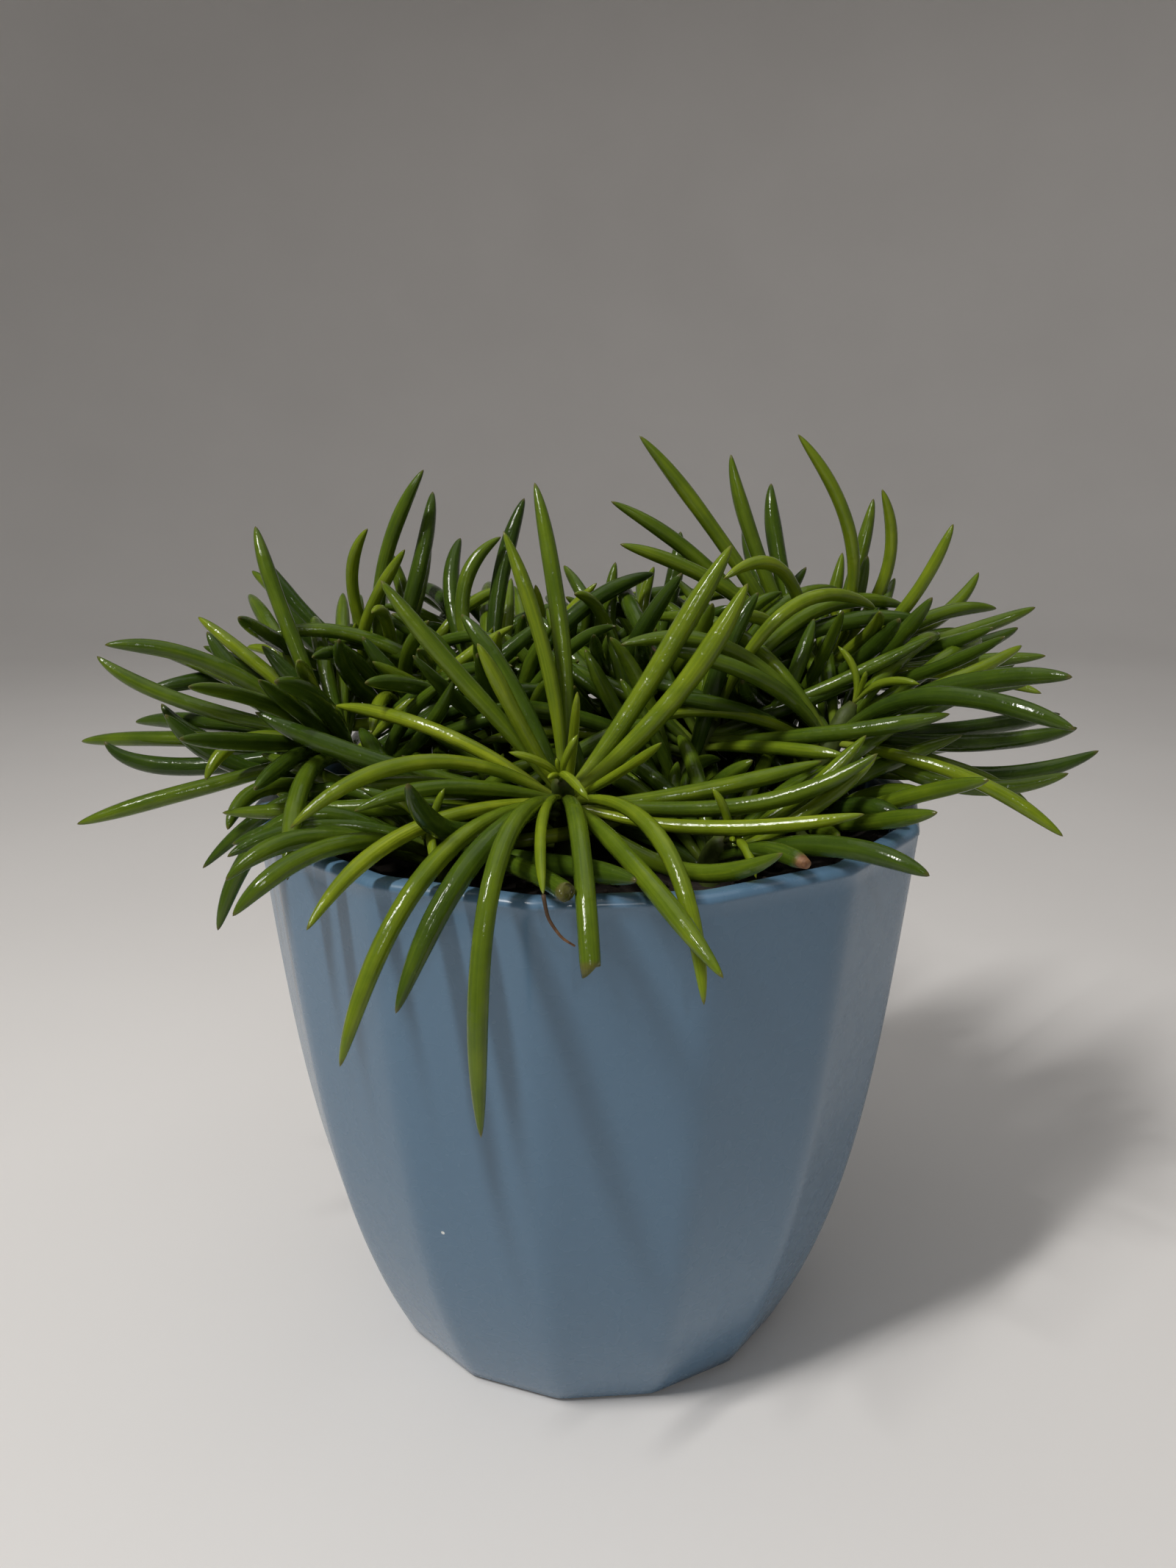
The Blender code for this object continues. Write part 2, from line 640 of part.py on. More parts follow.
    def run(self):
        """Settles the leaves. The last rounds only part leaves of different stems."""
        for turn in range(SETTLE_ROUNDS):
            if turn % REMEASURE == 0:
                self.measure()
            self.part_leaves(turn < SETTLE_ROUNDS - STRANGERS_ROUNDS)
            self.leave_stems()
            self.clear_pot_and_soil()


def settled_leaves():
    """All leaves, hand-placed and added, bent clear of each other."""
    draw = np.random.default_rng(SEED)
    leaves = []
    for name in STEMS:
        placed = placed_leaves(name)
        leaves += placed + added_leaves(name, placed, draw)
    settling = Settling(leaves)
    settling.run()
    for leaf, bend, tip in zip(leaves, settling.bend, settling.tip):
        leaf["bend"], leaf["tip"] = bend, tip
    return leaves


def tube_points(path, radii, sides):
    """Rings round a path. Each ring's first corner keeps to one side, so that the tube doesn't twist."""
    along = unit(np.gradient(path, axis=0))
    across = unit(np.cross(along, np.cross(path[-1] - path[0], TUBE_GUIDE)))
    other = np.cross(along, across)
    turn = 2.0 * math.pi * np.arange(sides)[None, :, None] / sides
    circle = np.cos(turn) * across[:, None] + np.sin(turn) * other[:, None]
    return (path[:, None] + np.asarray(radii)[:, None, None] * circle).reshape(-1, 3)


def leaf_object(leaf, collection):
    """A round leaf, widest past its middle, ending in a point or, where it was cut, bluntly."""
    blunt = leaf["age"] in BLUNT
    ends = [leaf[name][None] for name in ("root", "bend", "tip")]
    share = even_shares(*ends, LEAF_RINGS)[0]
    path = curve(leaf["root"], leaf["bend"], leaf["tip"], share[:, None])
    points = tube_points(path, leaf_radii(leaf["age"]), LEAF_SIDES)
    rings = len(LEAF_RINGS)
    if not blunt:
        rings -= 1
        points = points[: rings * LEAF_SIDES + 1]
    return object_of("leaf", points, rings_to_faces(rings, LEAF_SIDES, not blunt), collection=collection)


def leafy_stem(name, leaves):
    """A stem that stands in its hole in the soil, with its leaves joined to it."""
    foot, _, _ = STEMS[name]
    above = stem_axis(name)[::STEM_STRIDE]
    share = np.linspace(0.0, 1.0, len(above))
    radii = STEM_RADIUS + (STEM_TIP_RADIUS - STEM_RADIUS) * share
    radii[-1] *= STEM_TIP_ROUND
    centres = np.concatenate([[(*foot, SOIL_TOP - HOLE_DEPTH + GAP)], above])
    points = stem_rings(centres, np.concatenate([[STEM_RADIUS], radii]))
    finish = BRIGHT_LEAF if name in BRIGHT_STEMS else DARK_LEAF
    stem = object_of(name, points, rings_to_faces(len(centres), STEM_SIDES), finish)
    sprigs = bpy.data.collections.new("leaves_of_" + name)
    for leaf in leaves:
        leaf_object(leaf, sprigs)
    combine(stem, sprigs, "UNION")
    keep_largest_body(stem)


def main():
    clear_scene()
    pot()
    soil()
    leaves = settled_leaves()
    for name in STEMS:
        leafy_stem(name, [leaf for leaf in leaves if leaf["stem"] == name])


main()
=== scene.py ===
"""Bush senecio in its glazed pot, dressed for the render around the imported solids.

The solids' own layout is worked out again here with the same tables and rules, so that each finer leaf
lies where the solid one does. Lengths in the tables and functions are millimetres, and MM turns them
into Blender's metres. The origin is the middle of the pot's base, +Z is up and -Y is the front.
"""

import math

import bpy
import numpy as np
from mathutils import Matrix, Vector, noise


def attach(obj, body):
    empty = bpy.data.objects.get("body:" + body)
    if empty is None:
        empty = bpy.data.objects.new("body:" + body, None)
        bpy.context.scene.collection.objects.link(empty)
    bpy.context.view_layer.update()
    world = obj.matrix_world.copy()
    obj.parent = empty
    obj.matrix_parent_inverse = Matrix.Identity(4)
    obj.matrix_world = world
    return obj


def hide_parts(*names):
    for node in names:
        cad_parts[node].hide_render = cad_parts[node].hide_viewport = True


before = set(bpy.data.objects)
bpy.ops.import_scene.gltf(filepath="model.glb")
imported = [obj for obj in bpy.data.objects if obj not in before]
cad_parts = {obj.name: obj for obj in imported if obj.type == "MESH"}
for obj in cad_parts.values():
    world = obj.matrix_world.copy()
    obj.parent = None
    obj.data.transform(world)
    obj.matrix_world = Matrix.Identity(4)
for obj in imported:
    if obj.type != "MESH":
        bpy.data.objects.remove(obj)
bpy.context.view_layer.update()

MM = 0.001

# The pot: a cup with flat facets between its ridges. Its radii are measured to a ridge.
FACETS = 15
FIRST_RIDGE = math.radians(-7.7)
POT_HEIGHT = 114.0
RIM_RADIUS = 67.5
BASE_RADIUS = 44.0
EVEN_FLARE = 0.45
BELLY_POWER = 3.7
WALL = 4.4
FLOOR = 6.0

# The soil, and the plain holes that the stems stand in.
GAP = 0.3
SOIL_TOP = 106.0
HOLE_DEPTH = 15.0
ABOVE_SOIL = 1.0

# Stems and leaves. A leaf's rings are shares of its length, and its shape is its width there.
STEM_RADIUS = 2.6
STEM_TIP_RADIUS = 1.9
AXIS_POINTS = 13
LENGTH_STEPS = 17
STEM_STRIDE = 3
LEAF_RINGS = (0.0, 0.24, 0.58, 0.88, 1.0)
LEAF_SHAPE = (0.52, 0.84, 1.0, 0.84, 0.0)
CUT_END = 0.85
WIDTH = {"new": 1.9, "young": 2.9, "grown": 3.4, "broad": 4.2, "old": 3.9, "cut": 3.5, "dried": 3.2}
BLUNT = ("cut", "dried")
LEAST_LENGTH = 40.0
LEAST_YOUNG = 27.0
SHORT = ("new", "young", "dried")
ROOT_OUT = 0.9
ROOT_BELOW_HEAD = 2.0
ROOT_DROP = 4.0
HANG_CLEAR = 4.0
HANG_OUT = 0.45
HANG_UP = 0.58
TUBE_GUIDE = (0.31, 0.95, 0.08)

# How leaves are bent clear of each other, of the pot and of the soil.
SETTLE_ROUNDS = 320
REMEASURE = 20
STRANGERS_ROUNDS = 50
BEND_STEP = 0.72
TIP_STEP = 0.63
CLEAR_OTHERS = 0.9
CLEAR_SISTERS = 0.25
CLEAR_POT = 0.8
HANG = 0.12
REACH = 20.0
PLACES = 19
FIRST_PLACE = 0.35

# Leaves that a rule adds where the listed ones leave room.
SEED = 7
EVEN_STEPS = (0.7548777, 0.5698403)
FILL_SPREAD = math.radians(19.0)
FILL_TRIES = 400
FILL_RISE = (math.radians(-16.0), math.radians(54.0))
FILL_LENGTH = 38.0
FILL_LONGER = 16.0
FILL_VARIES = (0.88, 1.08)
FILL_BOWS = ((-2.0, -2.0, 1.0), (2.0, 2.0, 5.0))
FILL_AGES = ("grown", "old", "young", "grown", "old", "young", "grown")
FILL_LOW = 113.0
FILL_TOP = 147.0
FRONT_LOWER = 0.55
FILL_OUT = 98.0
FILL_FRONT = -50.0
CLEARINGS = ((-30.0, 22.0, -100.0, -22.0), (20.0, 74.0, -60.0, -8.0))
OUTER_HEAD = 55.0

# Each stem: its foot in the soil (x, y), its head (x, y, z) and how many leaves it carries.
STEMS = {
    "leafy_stem_front": ((-4, -26), (-5, -36, 125), 28),
    "leafy_stem_front_left": ((-27, -34), (-27, -43, 118), 17),
    "leafy_stem_front_right": ((22, -33), (24, -37, 114), 17),
    "leafy_stem_left": ((-43, -4), (-55, -3, 128), 27),
    "leafy_stem_back_left": ((-38, 24), (-49, 28, 133), 23),
    "leafy_stem_middle_left": ((-17, 8), (-22, 18, 131), 23),
    "leafy_stem_middle_back": ((8, 20), (12, 24, 130), 23),
    "leafy_stem_middle_right": ((18, -8), (26, -2, 130), 23),
    "leafy_stem_right": ((44, -10), (52, -8, 133), 26),
    "leafy_stem_right_back": ((40, 18), (53, 19, 138), 30),
    "leafy_stem_back": ((-12, 42), (-14, 50, 128), 20),
    "leafy_stem_back_right": ((24, 44), (27, 52, 128), 20),
}

# Listed leaves: the tip's x, y, z, how far the middle bows to +X and up, and the leaf's age.
LEAVES = {
    "leafy_stem_front": (
        (-36, -30, 159, -1, 1, "grown"), (-15, -25, 167, 2, 2, "young"), (-10, -12, 175, 2, 3, "grown"),
        (-19, -36, 149, 0, -1, "young"), (-2, -38, 141, 0, 0, "new"), (26, -18, 164, 0, -3, "broad"),
        (28, -24, 158, 1, -3, "broad"), (12, -46, 134, 1, 0, "new"), (50, -38, 130, 3, -5, "grown"),
        (43, -24, 126, 1, -2, "grown"), (30, -62, 120, 0, -8, "grown"), (46, -48, 117, 0, -4, "young"),
        (19, -82, 108, -2, -1, "grown"), (16, -77, 101, 3, 1, "young"), (0, -77, 106, 1, 0, "cut"),
        (-6, -73, 117, -2, 4, "new"), (-16, -79, 80, -1, 0, "grown"), (-38, -76, 91, 0, -1, "grown"),
        (-30, -75, 99, -1, -2, "old"), (-41, -72, 110, -1, 1, "young"), (-25, -66, 130, -3, -11, "old"),
        (-48, -55, 122, -2, 9, "young"), (-66, -32, 122, -1, 0, "grown"), (-60, -28, 135, -4, -3, "old"),
        (-49, -12, 133, 0, 2, "young"), (-24, -14, 151, 3, -2, "old"),
    ),
    "leafy_stem_front_left": (
        (-58, -58, 114, 0, 0, "grown"), (-56, -63, 110, 0, 0, "grown"), (-3, -72, 119, 2, -1, "cut"),
        (7, -70, 120, 4, -2, "old"), (-47, -47, 118, -3, 0, "grown"),
    ),
    "leafy_stem_front_right": (
        (53, -62, 117, 0, -1, "old"), (50, -35, 129, 0, -2, "young"), (50, -28, 131, 0, -2, "young"),
        (35, -57, 114, 0, -1, "dried"),
    ),
    "leafy_stem_left": (
        (-99, 0, 141, -6, -1, "grown"), (-92, 10, 137, -4, 3, "grown"), (-106, 5, 122, -6, -1, "grown"),
        (-97, -6, 125, -8, -4, "old"), (-98, -20, 112, -1, 0, "grown"), (-99, 14, 124, -5, 1, "old"),
        (-89, 8, 130, -6, -3, "old"), (-76, 0, 146, -3, -1, "old"), (-80, 6, 148, 0, 1, "young"),
        (-76, 30, 150, -2, 5, "grown"), (-68, 10, 166, -2, 4, "grown"), (-72, -22, 121, -4, 5, "young"),
        (-66, -30, 114, -3, 4, "grown"), (-49, -51, 110, 1, 3, "grown"), (-64, -6, 144, 1, 2, "old"),
        (-84, 22, 139, -5, 0, "grown"), (-81, -13, 133, -4, -3, "old"),
    ),
    "leafy_stem_back_left": (
        (-36, 30, 177, -5, 2, "grown"), (-47, 18, 165, -6, 3, "young"), (-35, 38, 172, 2, 2, "old"),
        (-37, 46, 163, 2, 0, "grown"), (-46, 35, 160, 3, -1, "grown"), (-39, 16, 161, -8, -3, "young"),
        (-79, 44, 154, -2, 2, "grown"), (-72, 32, 159, -2, 4, "old"), (-67, 22, 151, -2, 1, "old"),
        (-78, 33, 137, -8, 3, "young"),
    ),
    "leafy_stem_middle_left": (
        (-14, 30, 171, -2, 1, "old"), (-29, 36, 162, -5, 2, "old"), (-19, 24, 163, -8, 5, "grown"),
        (-15, 36, 153, 1, 0, "grown"), (-48, 4, 144, -1, 1, "old"), (-44, -2, 138, -2, 0, "young"),
        (-6, 8, 147, -1, 2, "grown"),
    ),
    "leafy_stem_middle_back": (
        (5, 32, 157, -6, 2, "grown"), (-7, 16, 153, -1, 7, "young"), (15, 33, 156, 1, 1, "young"),
        (19, 0, 158, -4, -4, "old"), (-9, 10, 143, 0, 4, "grown"), (-6, 44, 155, 0, 1, "grown"),
        (22, 36, 163, 2, 2, "old"), (30, 14, 150, 1, 2, "old"),
    ),
    "leafy_stem_middle_right": (
        (68, -22, 134, 5, 0, "grown"), (47, -26, 126, 0, 1, "young"), (29, -28, 125, -3, -1, "grown"),
        (32, 2, 153, 2, 2, "old"), (0, -8, 144, 0, 1, "grown"),
    ),
    "leafy_stem_right": (
        (103, -5, 123, 3, -5, "old"), (102, 5, 125, 2, -3, "old"), (102, 14, 126, -1, -2, "old"),
        (92, -17, 122, 0, -4, "grown"), (85, -33, 113, -1, 2, "young"), (87, -13, 114, 1, 3, "grown"),
        (69, -37, 125, -1, -4, "grown"), (58, -45, 121, -4, -6, "grown"), (64, -24, 117, 0, 0, "grown"),
        (58, -30, 114, 0, 0, "old"), (46, -34, 114, 0, 0, "grown"),
    ),
    "leafy_stem_right_back": (
        (42, 12, 184, 6, 0, "young"), (61, 18, 173, 6, -1, "young"), (62, 30, 171, 1, 0, "grown"),
        (74, 12, 167, 0, -3, "young"), (87, 30, 155, 5, -2, "grown"), (69, 4, 153, 2, -2, "old"),
        (95, 14, 148, 3, 0, "grown"), (90, 26, 147, 2, 3, "grown"), (95, 8, 140, 2, 0, "grown"),
        (91, -2, 134, 1, 3, "young"), (96, 28, 143, 3, -1, "old"), (93, 18, 138, 6, -3, "old"),
        (30, 24, 180, -4, 4, "grown"), (40, 32, 174, -3, 4, "old"), (36, 40, 167, -4, 3, "old"),
        (10, 18, 183, -4, 2, "grown"), (5, 20, 171, 0, 2, "grown"), (7, 12, 163, 4, 5, "grown"),
        (27, 0, 156, 7, 11, "young"), (24, -6, 144, 0, 3, "young"), (60, -10, 147, 2, -1, "old"),
        (27, -18, 133, 1, 0, "old"), (59, 16, 159, 1, -1, "old"), (56, 30, 160, 1, 0, "grown"),
        (56, -6, 112, 0, 4, "young"), (46, -8, 120, -2, 2, "young"),
    ),
}

# Inner leaves that the solids leave out.
INNER_SEED = 11
INNER_LEAVES = 15
INNER_SPREAD = math.radians(11.0)
INNER_TRIES = 900
INNER_TURN = 1.0
INNER_LENGTH = (36.0, 50.0)
INNER_RISE = (math.radians(-22.0), math.radians(50.0))
INNER_LOW = 110.0
INNER_TOP = 143.0
INNER_OUT = 84.0
INNER_ROUNDS = 110
INNER_BOWS = ((-2.0, -2.0, -1.0), (2.0, 2.0, 3.0))
INNER_AGES = ("grown", "young", "young")

# The finer meshes: sides round a piece, and steps along it.
LEAF_SIDES = 14
LEAF_STEPS = 28
STEM_SIDES = 14
BUD_SIDES = 10
THREAD_SIDES = 8
SMALL_STEPS = 12

# A leaf's form. Places are shares of its length, and widths are shares of its widest radius.
TIP_CROWDS = 1.45
ROOT_WIDTH = 0.48
WIDEST_FROM = 0.56
TAPER_FROM = 0.73
TAPER_POWERS = (1.9, 0.6)
POINT_END = 0.02
FLATTER = 0.06
SWAY = 0.4
WAVER = 0.03
WAVER_RATE = (9.0, 16.0)
WAVER_START = (0.0, 6.0)
CUT_AT = 0.75
CUT_WIDEST = 0.92
CUT_EDGE = (0.98, 0.85)
SHRIVEL_FROM = 0.9
SHRIVEL_OVER = 0.1
SHRIVELLED = 0.5
DRY_FROM = 0.93
DRY_OVER = 0.02

# A stem's part in the soil and its round end.
STEM_BURIED = 4.0
STEM_END = 0.5

# The tiny leaves at a growing tip: the first one's value, and how much each next one adds.
BUDS = 5
BUD_TURN = 2.4
BUD_TURN_VARIES = 0.6
BUD_LEAN = (0.35, 0.22)
BUD_LENGTH = (5.0, 2.2)
BUD_RADIUS = (0.5, 0.09)
BUD_BEND = (0.55, 0.1)
BUD_TILT = 0.1
BUD_END = 0.05

# How yellow-green a piece of the plant is, from 0 to 1, and which stems are lighter than the others.
TINT = {
    "new": 0.8, "young": 0.74, "grown": 0.48, "broad": 0.56, "old": 0.16, "cut": 0.45, "dried": 0.4,
    # The inner leaves' value is painted shade: it is lower than their age gives, because they lie deep in the
    # bush.
    "inner": 0.32, "thread": 0.3, "stem": 0.4, "bud": 0.8,
}
TINT_VARIES = 0.1
# The front stem's lift is its own young yellow-green. The right-back stem's lift is painted light, and the
# other stems' drop is painted shade.
BRIGHT_STEMS = {"leafy_stem_front": 0.06, "leafy_stem_right_back": 0.03}
OTHER_STEMS = -0.03
LOOK_SEED = 23

# Each piece's own place in its material's noise is drawn from 0 to this.
OWN_NOISE = 50.0

# The withered thread at one leaf's tip, dry scraps of old leaf in the bush, and a white fleck in the glaze.
WITHERED_LEAF = ("leafy_stem_front", 15)
WITHERED_CURL = ((0.0, 0.0, 0.0), (0.6, -0.3, -3.6), (2.6, -0.5, -6.6), (4.6, 0.2, -8.2))
THREAD_RADIUS = 0.34
THREAD_THINS = 0.18
SCRAPS = (((-56, -13, 138), (-53, -15, 134), (-50, -13, 130)), ((12, 5, 143), (15, 3, 140), (16, 4, 135)))
FLECK_PLACE = (-26.4, -51.8, 44.5)
FLECK_SIZE = 0.45

# The pot's skin. Its foot is rounded by points, each so far inside the base's edge and so high. The lip's
# round edge starts at an angle of LIP_FROM, in radians.
FACET_STEPS = 12
RIDGE_POWER = 260.0
FOOT = ((1.6, 0.0), (0.5, 0.12), (0.12, 0.45))
FOOT_TOP = 0.9
LIP_ROUND = 1.5
LIP_FROM = 1.5
LIP_STEPS = 6
OUTSIDE_BELOW_RIM = 1.6
INSIDE_BELOW_RIM = 2.0
OUTSIDE_RINGS = 44
INSIDE_RINGS = 16

# The bed of soil, whose lumps add up from layers of noise (size, layer, height), and the crumbs on it.
SOIL_AROUND = 90
SOIL_RINGS = 30
SOIL_SHOULDER = 3.0
SOIL_LOWER = 0.9
LUMPS = ((3.4, 1.0, 1.0), (1.4, 5.0, 0.6))
LUMP_HEIGHT = 1.3
LUMP_LIMITS = (-1.0, 0.9)
CRUMB_SEED = 31
CRUMBS = 520
CRUMB_REACH = 60.0
CRUMB_SIZE = (0.4, 1.35)
CRUMB_UNEVEN = (0.7, 1.25)
CRUMB_SHAPE = (1.0, 1.0, 0.75)
CRUMB_SUNK = 0.5

# Colours, as shares of red, green and blue. Those of a ramp each have their place on it.
LEAF_GREENS = ((0.0, (0.026, 0.052, 0.006)), (0.3, (0.055, 0.096, 0.007)), (0.6, (0.112, 0.168, 0.009)),
               (0.85, (0.19, 0.252, 0.011)), (1.0, (0.29, 0.35, 0.017)))
DARK_UPPER = (0.02, 0.05, 0.006)
PALE_ROOT = (0.33, 0.38, 0.06)
PALE_SPECKS = (0.2, 0.26, 0.06)
BROWN_TIP = (0.12, 0.09, 0.03)
STEM_BARK = ((0.3, (0.028, 0.034, 0.01)), (0.7, (0.07, 0.09, 0.02)))
WITHERED = ((0.3, (0.12, 0.05, 0.02)), (0.7, (0.3, 0.16, 0.08)))
WITHERED_ROOT = (0.04, 0.025, 0.015)
GLAZE_BLUES = ((0.2, (0.088, 0.171, 0.266)), (0.8, (0.1, 0.188, 0.289)))
GLAZE_GRAIN = (0.16, 0.25, 0.35)
GLAZE_PITS = (0.06, 0.1, 0.14)
WHITE_FLECK = (0.8, 0.8, 0.78)
BARE_FOOT = (0.56, 0.5, 0.42)
SOIL_BROWNS = ((0.3, (0.006, 0.004, 0.003)), (0.55, (0.022, 0.014, 0.009)), (0.8, (0.07, 0.047, 0.03)))
SOIL_CLODS = (0.012, 0.008, 0.006)
PALE_CRUMBS = (0.06, 0.04, 0.025)
PALE_FLOOR = ((0.3, (0.8, 0.78, 0.765)), (0.7, (0.83, 0.81, 0.795)))

# The studio, in metres: a floor that curves up all round, the lamps and the camera.
STAGE_SIDES = 72
STAGE_FLAT = (0.02, 0.3, 1.0)
STAGE_CURVE = 0.6
STAGE_CURVE_TURNS = (0.1, 0.5 * math.pi, 14)
STAGE_TOP = 2.6
WARM, WARMER, WHITE = (1.0, 0.98, 0.96), (1.0, 0.98, 0.95), (1.0, 1.0, 1.0)
WIDE_SPREAD = 180.0
KEY_SPREAD = 120.0
LAMP_TARGET = (0.0, 0.0, 0.09)
WORLD_TONE = (0.93, 0.95, 0.93, 1.0)
WORLD_STRENGTH = 0.08
LENS = 27.0
SENSOR = 36.0
CAMERA_PLACE = (-0.0002, -0.235, 0.179)
CAMERA_TILT = math.radians(74.6)


def unit(vectors):
    """The vectors at length 1. A vector of no length stays as it is."""
    return vectors / np.maximum(np.linalg.norm(vectors, axis=-1, keepdims=True), 1e-6)


def curve(start, bend, end, share):
    """Points on the curve from start to end that a bend point pulls aside."""
    return (1.0 - share) ** 2 * start + 2.0 * share * (1.0 - share) * bend + share**2 * end


def even_shares(root, bend, tip, shares):
    """The shares of each curve at which the given shares of its length lie."""
    steps = np.linspace(0.0, 1.0, LENGTH_STEPS)
    points = curve(root[:, None], bend[:, None], tip[:, None], steps[None, :, None])
    lengths = np.linalg.norm(np.diff(points, axis=1), axis=2).cumsum(axis=1)
    lengths = np.column_stack([np.zeros(len(root)), lengths]) / lengths[:, -1:]
    return np.array([np.interp(shares, row, steps) for row in lengths])


def ridge_radius(height):
    """The pot's radius at a height, measured outside to a ridge."""
    share = np.clip(np.asarray(height) / POT_HEIGHT, 0.0, 1.0)
    flare = EVEN_FLARE * share + (1.0 - EVEN_FLARE) * (1.0 - (1.0 - share) ** BELLY_POWER)
    return BASE_RADIUS + (RIM_RADIUS - BASE_RADIUS) * flare


def facet_share(points):
    """How far out the facets lie in each point's direction, as a share of the radius to a ridge."""
    half = math.pi / FACETS
    turn = np.arctan2(points[:, 0], -points[:, 1]) - FIRST_RIDGE
    return math.cos(half) / np.cos(np.mod(turn, 2.0 * half) - half)


def stem_axis(name):
    """The stem's axis above the soil: upright at the soil, then leaning over to its head."""
    foot, head, _ = STEMS[name]
    start = np.array([*foot, SOIL_TOP + ABOVE_SOIL])
    head = np.asarray(head, float)
    bend = np.array([*foot, 0.5 * (start[2] + head[2])])
    return curve(start, bend, head, np.linspace(0.0, 1.0, AXIS_POINTS)[:, None])


def root_of(axis, tip, least):
    """Where a leaf leaves its stem: lower the more it hangs, and low enough for a leaf of full length."""
    lengths = np.linalg.norm(np.diff(axis, axis=0), axis=1)
    below = np.concatenate([[0.0], np.cumsum(lengths[::-1])])
    turned = math.acos(np.clip(unit(tip - axis[-1]) @ unit(axis[-1] - axis[-3]), -1.0, 1.0))
    highest = ROOT_BELOW_HEAD + ROOT_DROP * turned
    for depth in np.linspace(highest, below[-1] - ROOT_BELOW_HEAD, AXIS_POINTS):
        point = np.array([np.interp(depth, below, axis[::-1, k]) for k in range(3)])
        if np.linalg.norm(tip - point) >= least:
            break
    return point + unit(tip - point) * ROOT_OUT


def leaf_radii(age):
    """A leaf's radius at each of its rings. One that was cut or has dried ends bluntly."""
    shape = np.array(LEAF_SHAPE)
    if age in BLUNT:
        shape[-2:] = CUT_END
    return 0.5 * WIDTH[age] * shape


def leaf_of(name, tip, bow, age, least=None):
    """A leaf of a stem: its root, the bend point that bows its middle aside, its tip and its age."""
    least = least or (LEAST_YOUNG if age in SHORT else LEAST_LENGTH)
    root = root_of(stem_axis(name), tip, least)
    bend = 0.5 * (root + tip) + 2.0 * np.asarray(bow, float)
    return {"stem": name, "root": root, "bend": bend, "tip": tip, "age": age}


def hanging_bow(root, tip):
    """How far a leaf bows outwards and up over the rim, where a straight one would pass through it."""
    near, far = math.hypot(root[0], root[1]), math.hypot(tip[0], tip[1])
    if far < RIM_RADIUS:
        return np.zeros(3)
    over_rim = root[2] + (tip[2] - root[2]) * (RIM_RADIUS - near) / (far - near)
    lack = max(0.0, POT_HEIGHT + HANG_CLEAR - over_rim)
    outwards = HANG_OUT * lack
    return np.array([outwards * tip[0] / far, outwards * tip[1] / far, HANG_UP * lack])


def placed_leaves(name):
    """The listed leaves of a stem."""
    leaves = []
    for x, y, z, side, rise, age in LEAVES.get(name, ()):
        leaf = leaf_of(name, np.array([x, y, z], float), (side, 0.0, rise), age)
        leaf["bend"] += 2.0 * hanging_bow(leaf["root"], leaf["tip"])
        leaves.append(leaf)
    return leaves


def fill_length(direction, head):
    """How long an added leaf may be: longer where nothing hides it from the sides or the back."""
    backward = max(0.0, direction[1])
    sideways = abs(direction[0] * head[0]) / OUTER_HEAD
    return FILL_LENGTH + FILL_LONGER * min(1.0, backward + sideways)


def has_room(tip):
    """Whether an added leaf may end here: in no clearing, not at the very front and not too far out."""
    if tip[1] < FILL_FRONT or math.hypot(tip[0], tip[1]) > FILL_OUT:
        return False
    return not any(left < tip[0] < right and front < tip[1] < back for left, right, front, back in CLEARINGS)


def open_directions(used, tries, first, rises, spread):
    """Even directions round a stem, each with its number, where no direction in use is within the spread."""
    for k in tries:
        turn = 2.0 * math.pi * k * EVEN_STEPS[0] + first
        rise = rises[0] + (rises[1] - rises[0]) * ((k * EVEN_STEPS[1]) % 1.0)
        level = math.cos(rise)
        direction = np.array([level * math.cos(turn), level * math.sin(turn), math.sin(rise)])
        if all(direction @ other <= math.cos(spread) for other in used):
            yield k, direction


def added_leaves(name, taken, draw):
    """Leaves spread evenly round the stem, in the directions that no other leaf of it takes."""
    head = np.asarray(STEMS[name][1], float)
    top = FILL_TOP - FRONT_LOWER * max(0.0, -head[1])
    used = [unit(leaf["tip"] - head) for leaf in taken]
    leaves = []
    for k, direction in open_directions(used, range(FILL_TRIES), 0.0, FILL_RISE, FILL_SPREAD):
        if len(taken) + len(leaves) >= STEMS[name][2]:
            break
        tip = head + direction * fill_length(direction, head) * draw.uniform(*FILL_VARIES)
        tip[2] = np.clip(tip[2], FILL_LOW, top)
        if not has_room(tip):
            continue
        bow = draw.uniform(*FILL_BOWS)
        leaves.append(leaf_of(name, tip, bow, FILL_AGES[k % len(FILL_AGES)]))
        used.append(direction)
    return leaves


def nearest_between(a0, a1, b0, b1):
    """The shares along segments a and b of their nearest points, and the vector from b's to a's."""
    da, db, gap = a1 - a0, b1 - b0, a0 - b0
    aa = (da * da).sum(axis=1)
    bb = (db * db).sum(axis=1)
    ab = (da * db).sum(axis=1)
    ag = (da * gap).sum(axis=1)
    bg = (db * gap).sum(axis=1)
    flat = np.maximum(aa * bb - ab * ab, 1e-9)
    s = np.clip((ab * bg - ag * bb) / flat, 0.0, 1.0)
    t = np.clip((ab * s + bg) / bb, 0.0, 1.0)
    s = np.clip((ab * t - ag) / aa, 0.0, 1.0)
    return s, t, gap + s[:, None] * da - t[:, None] * db


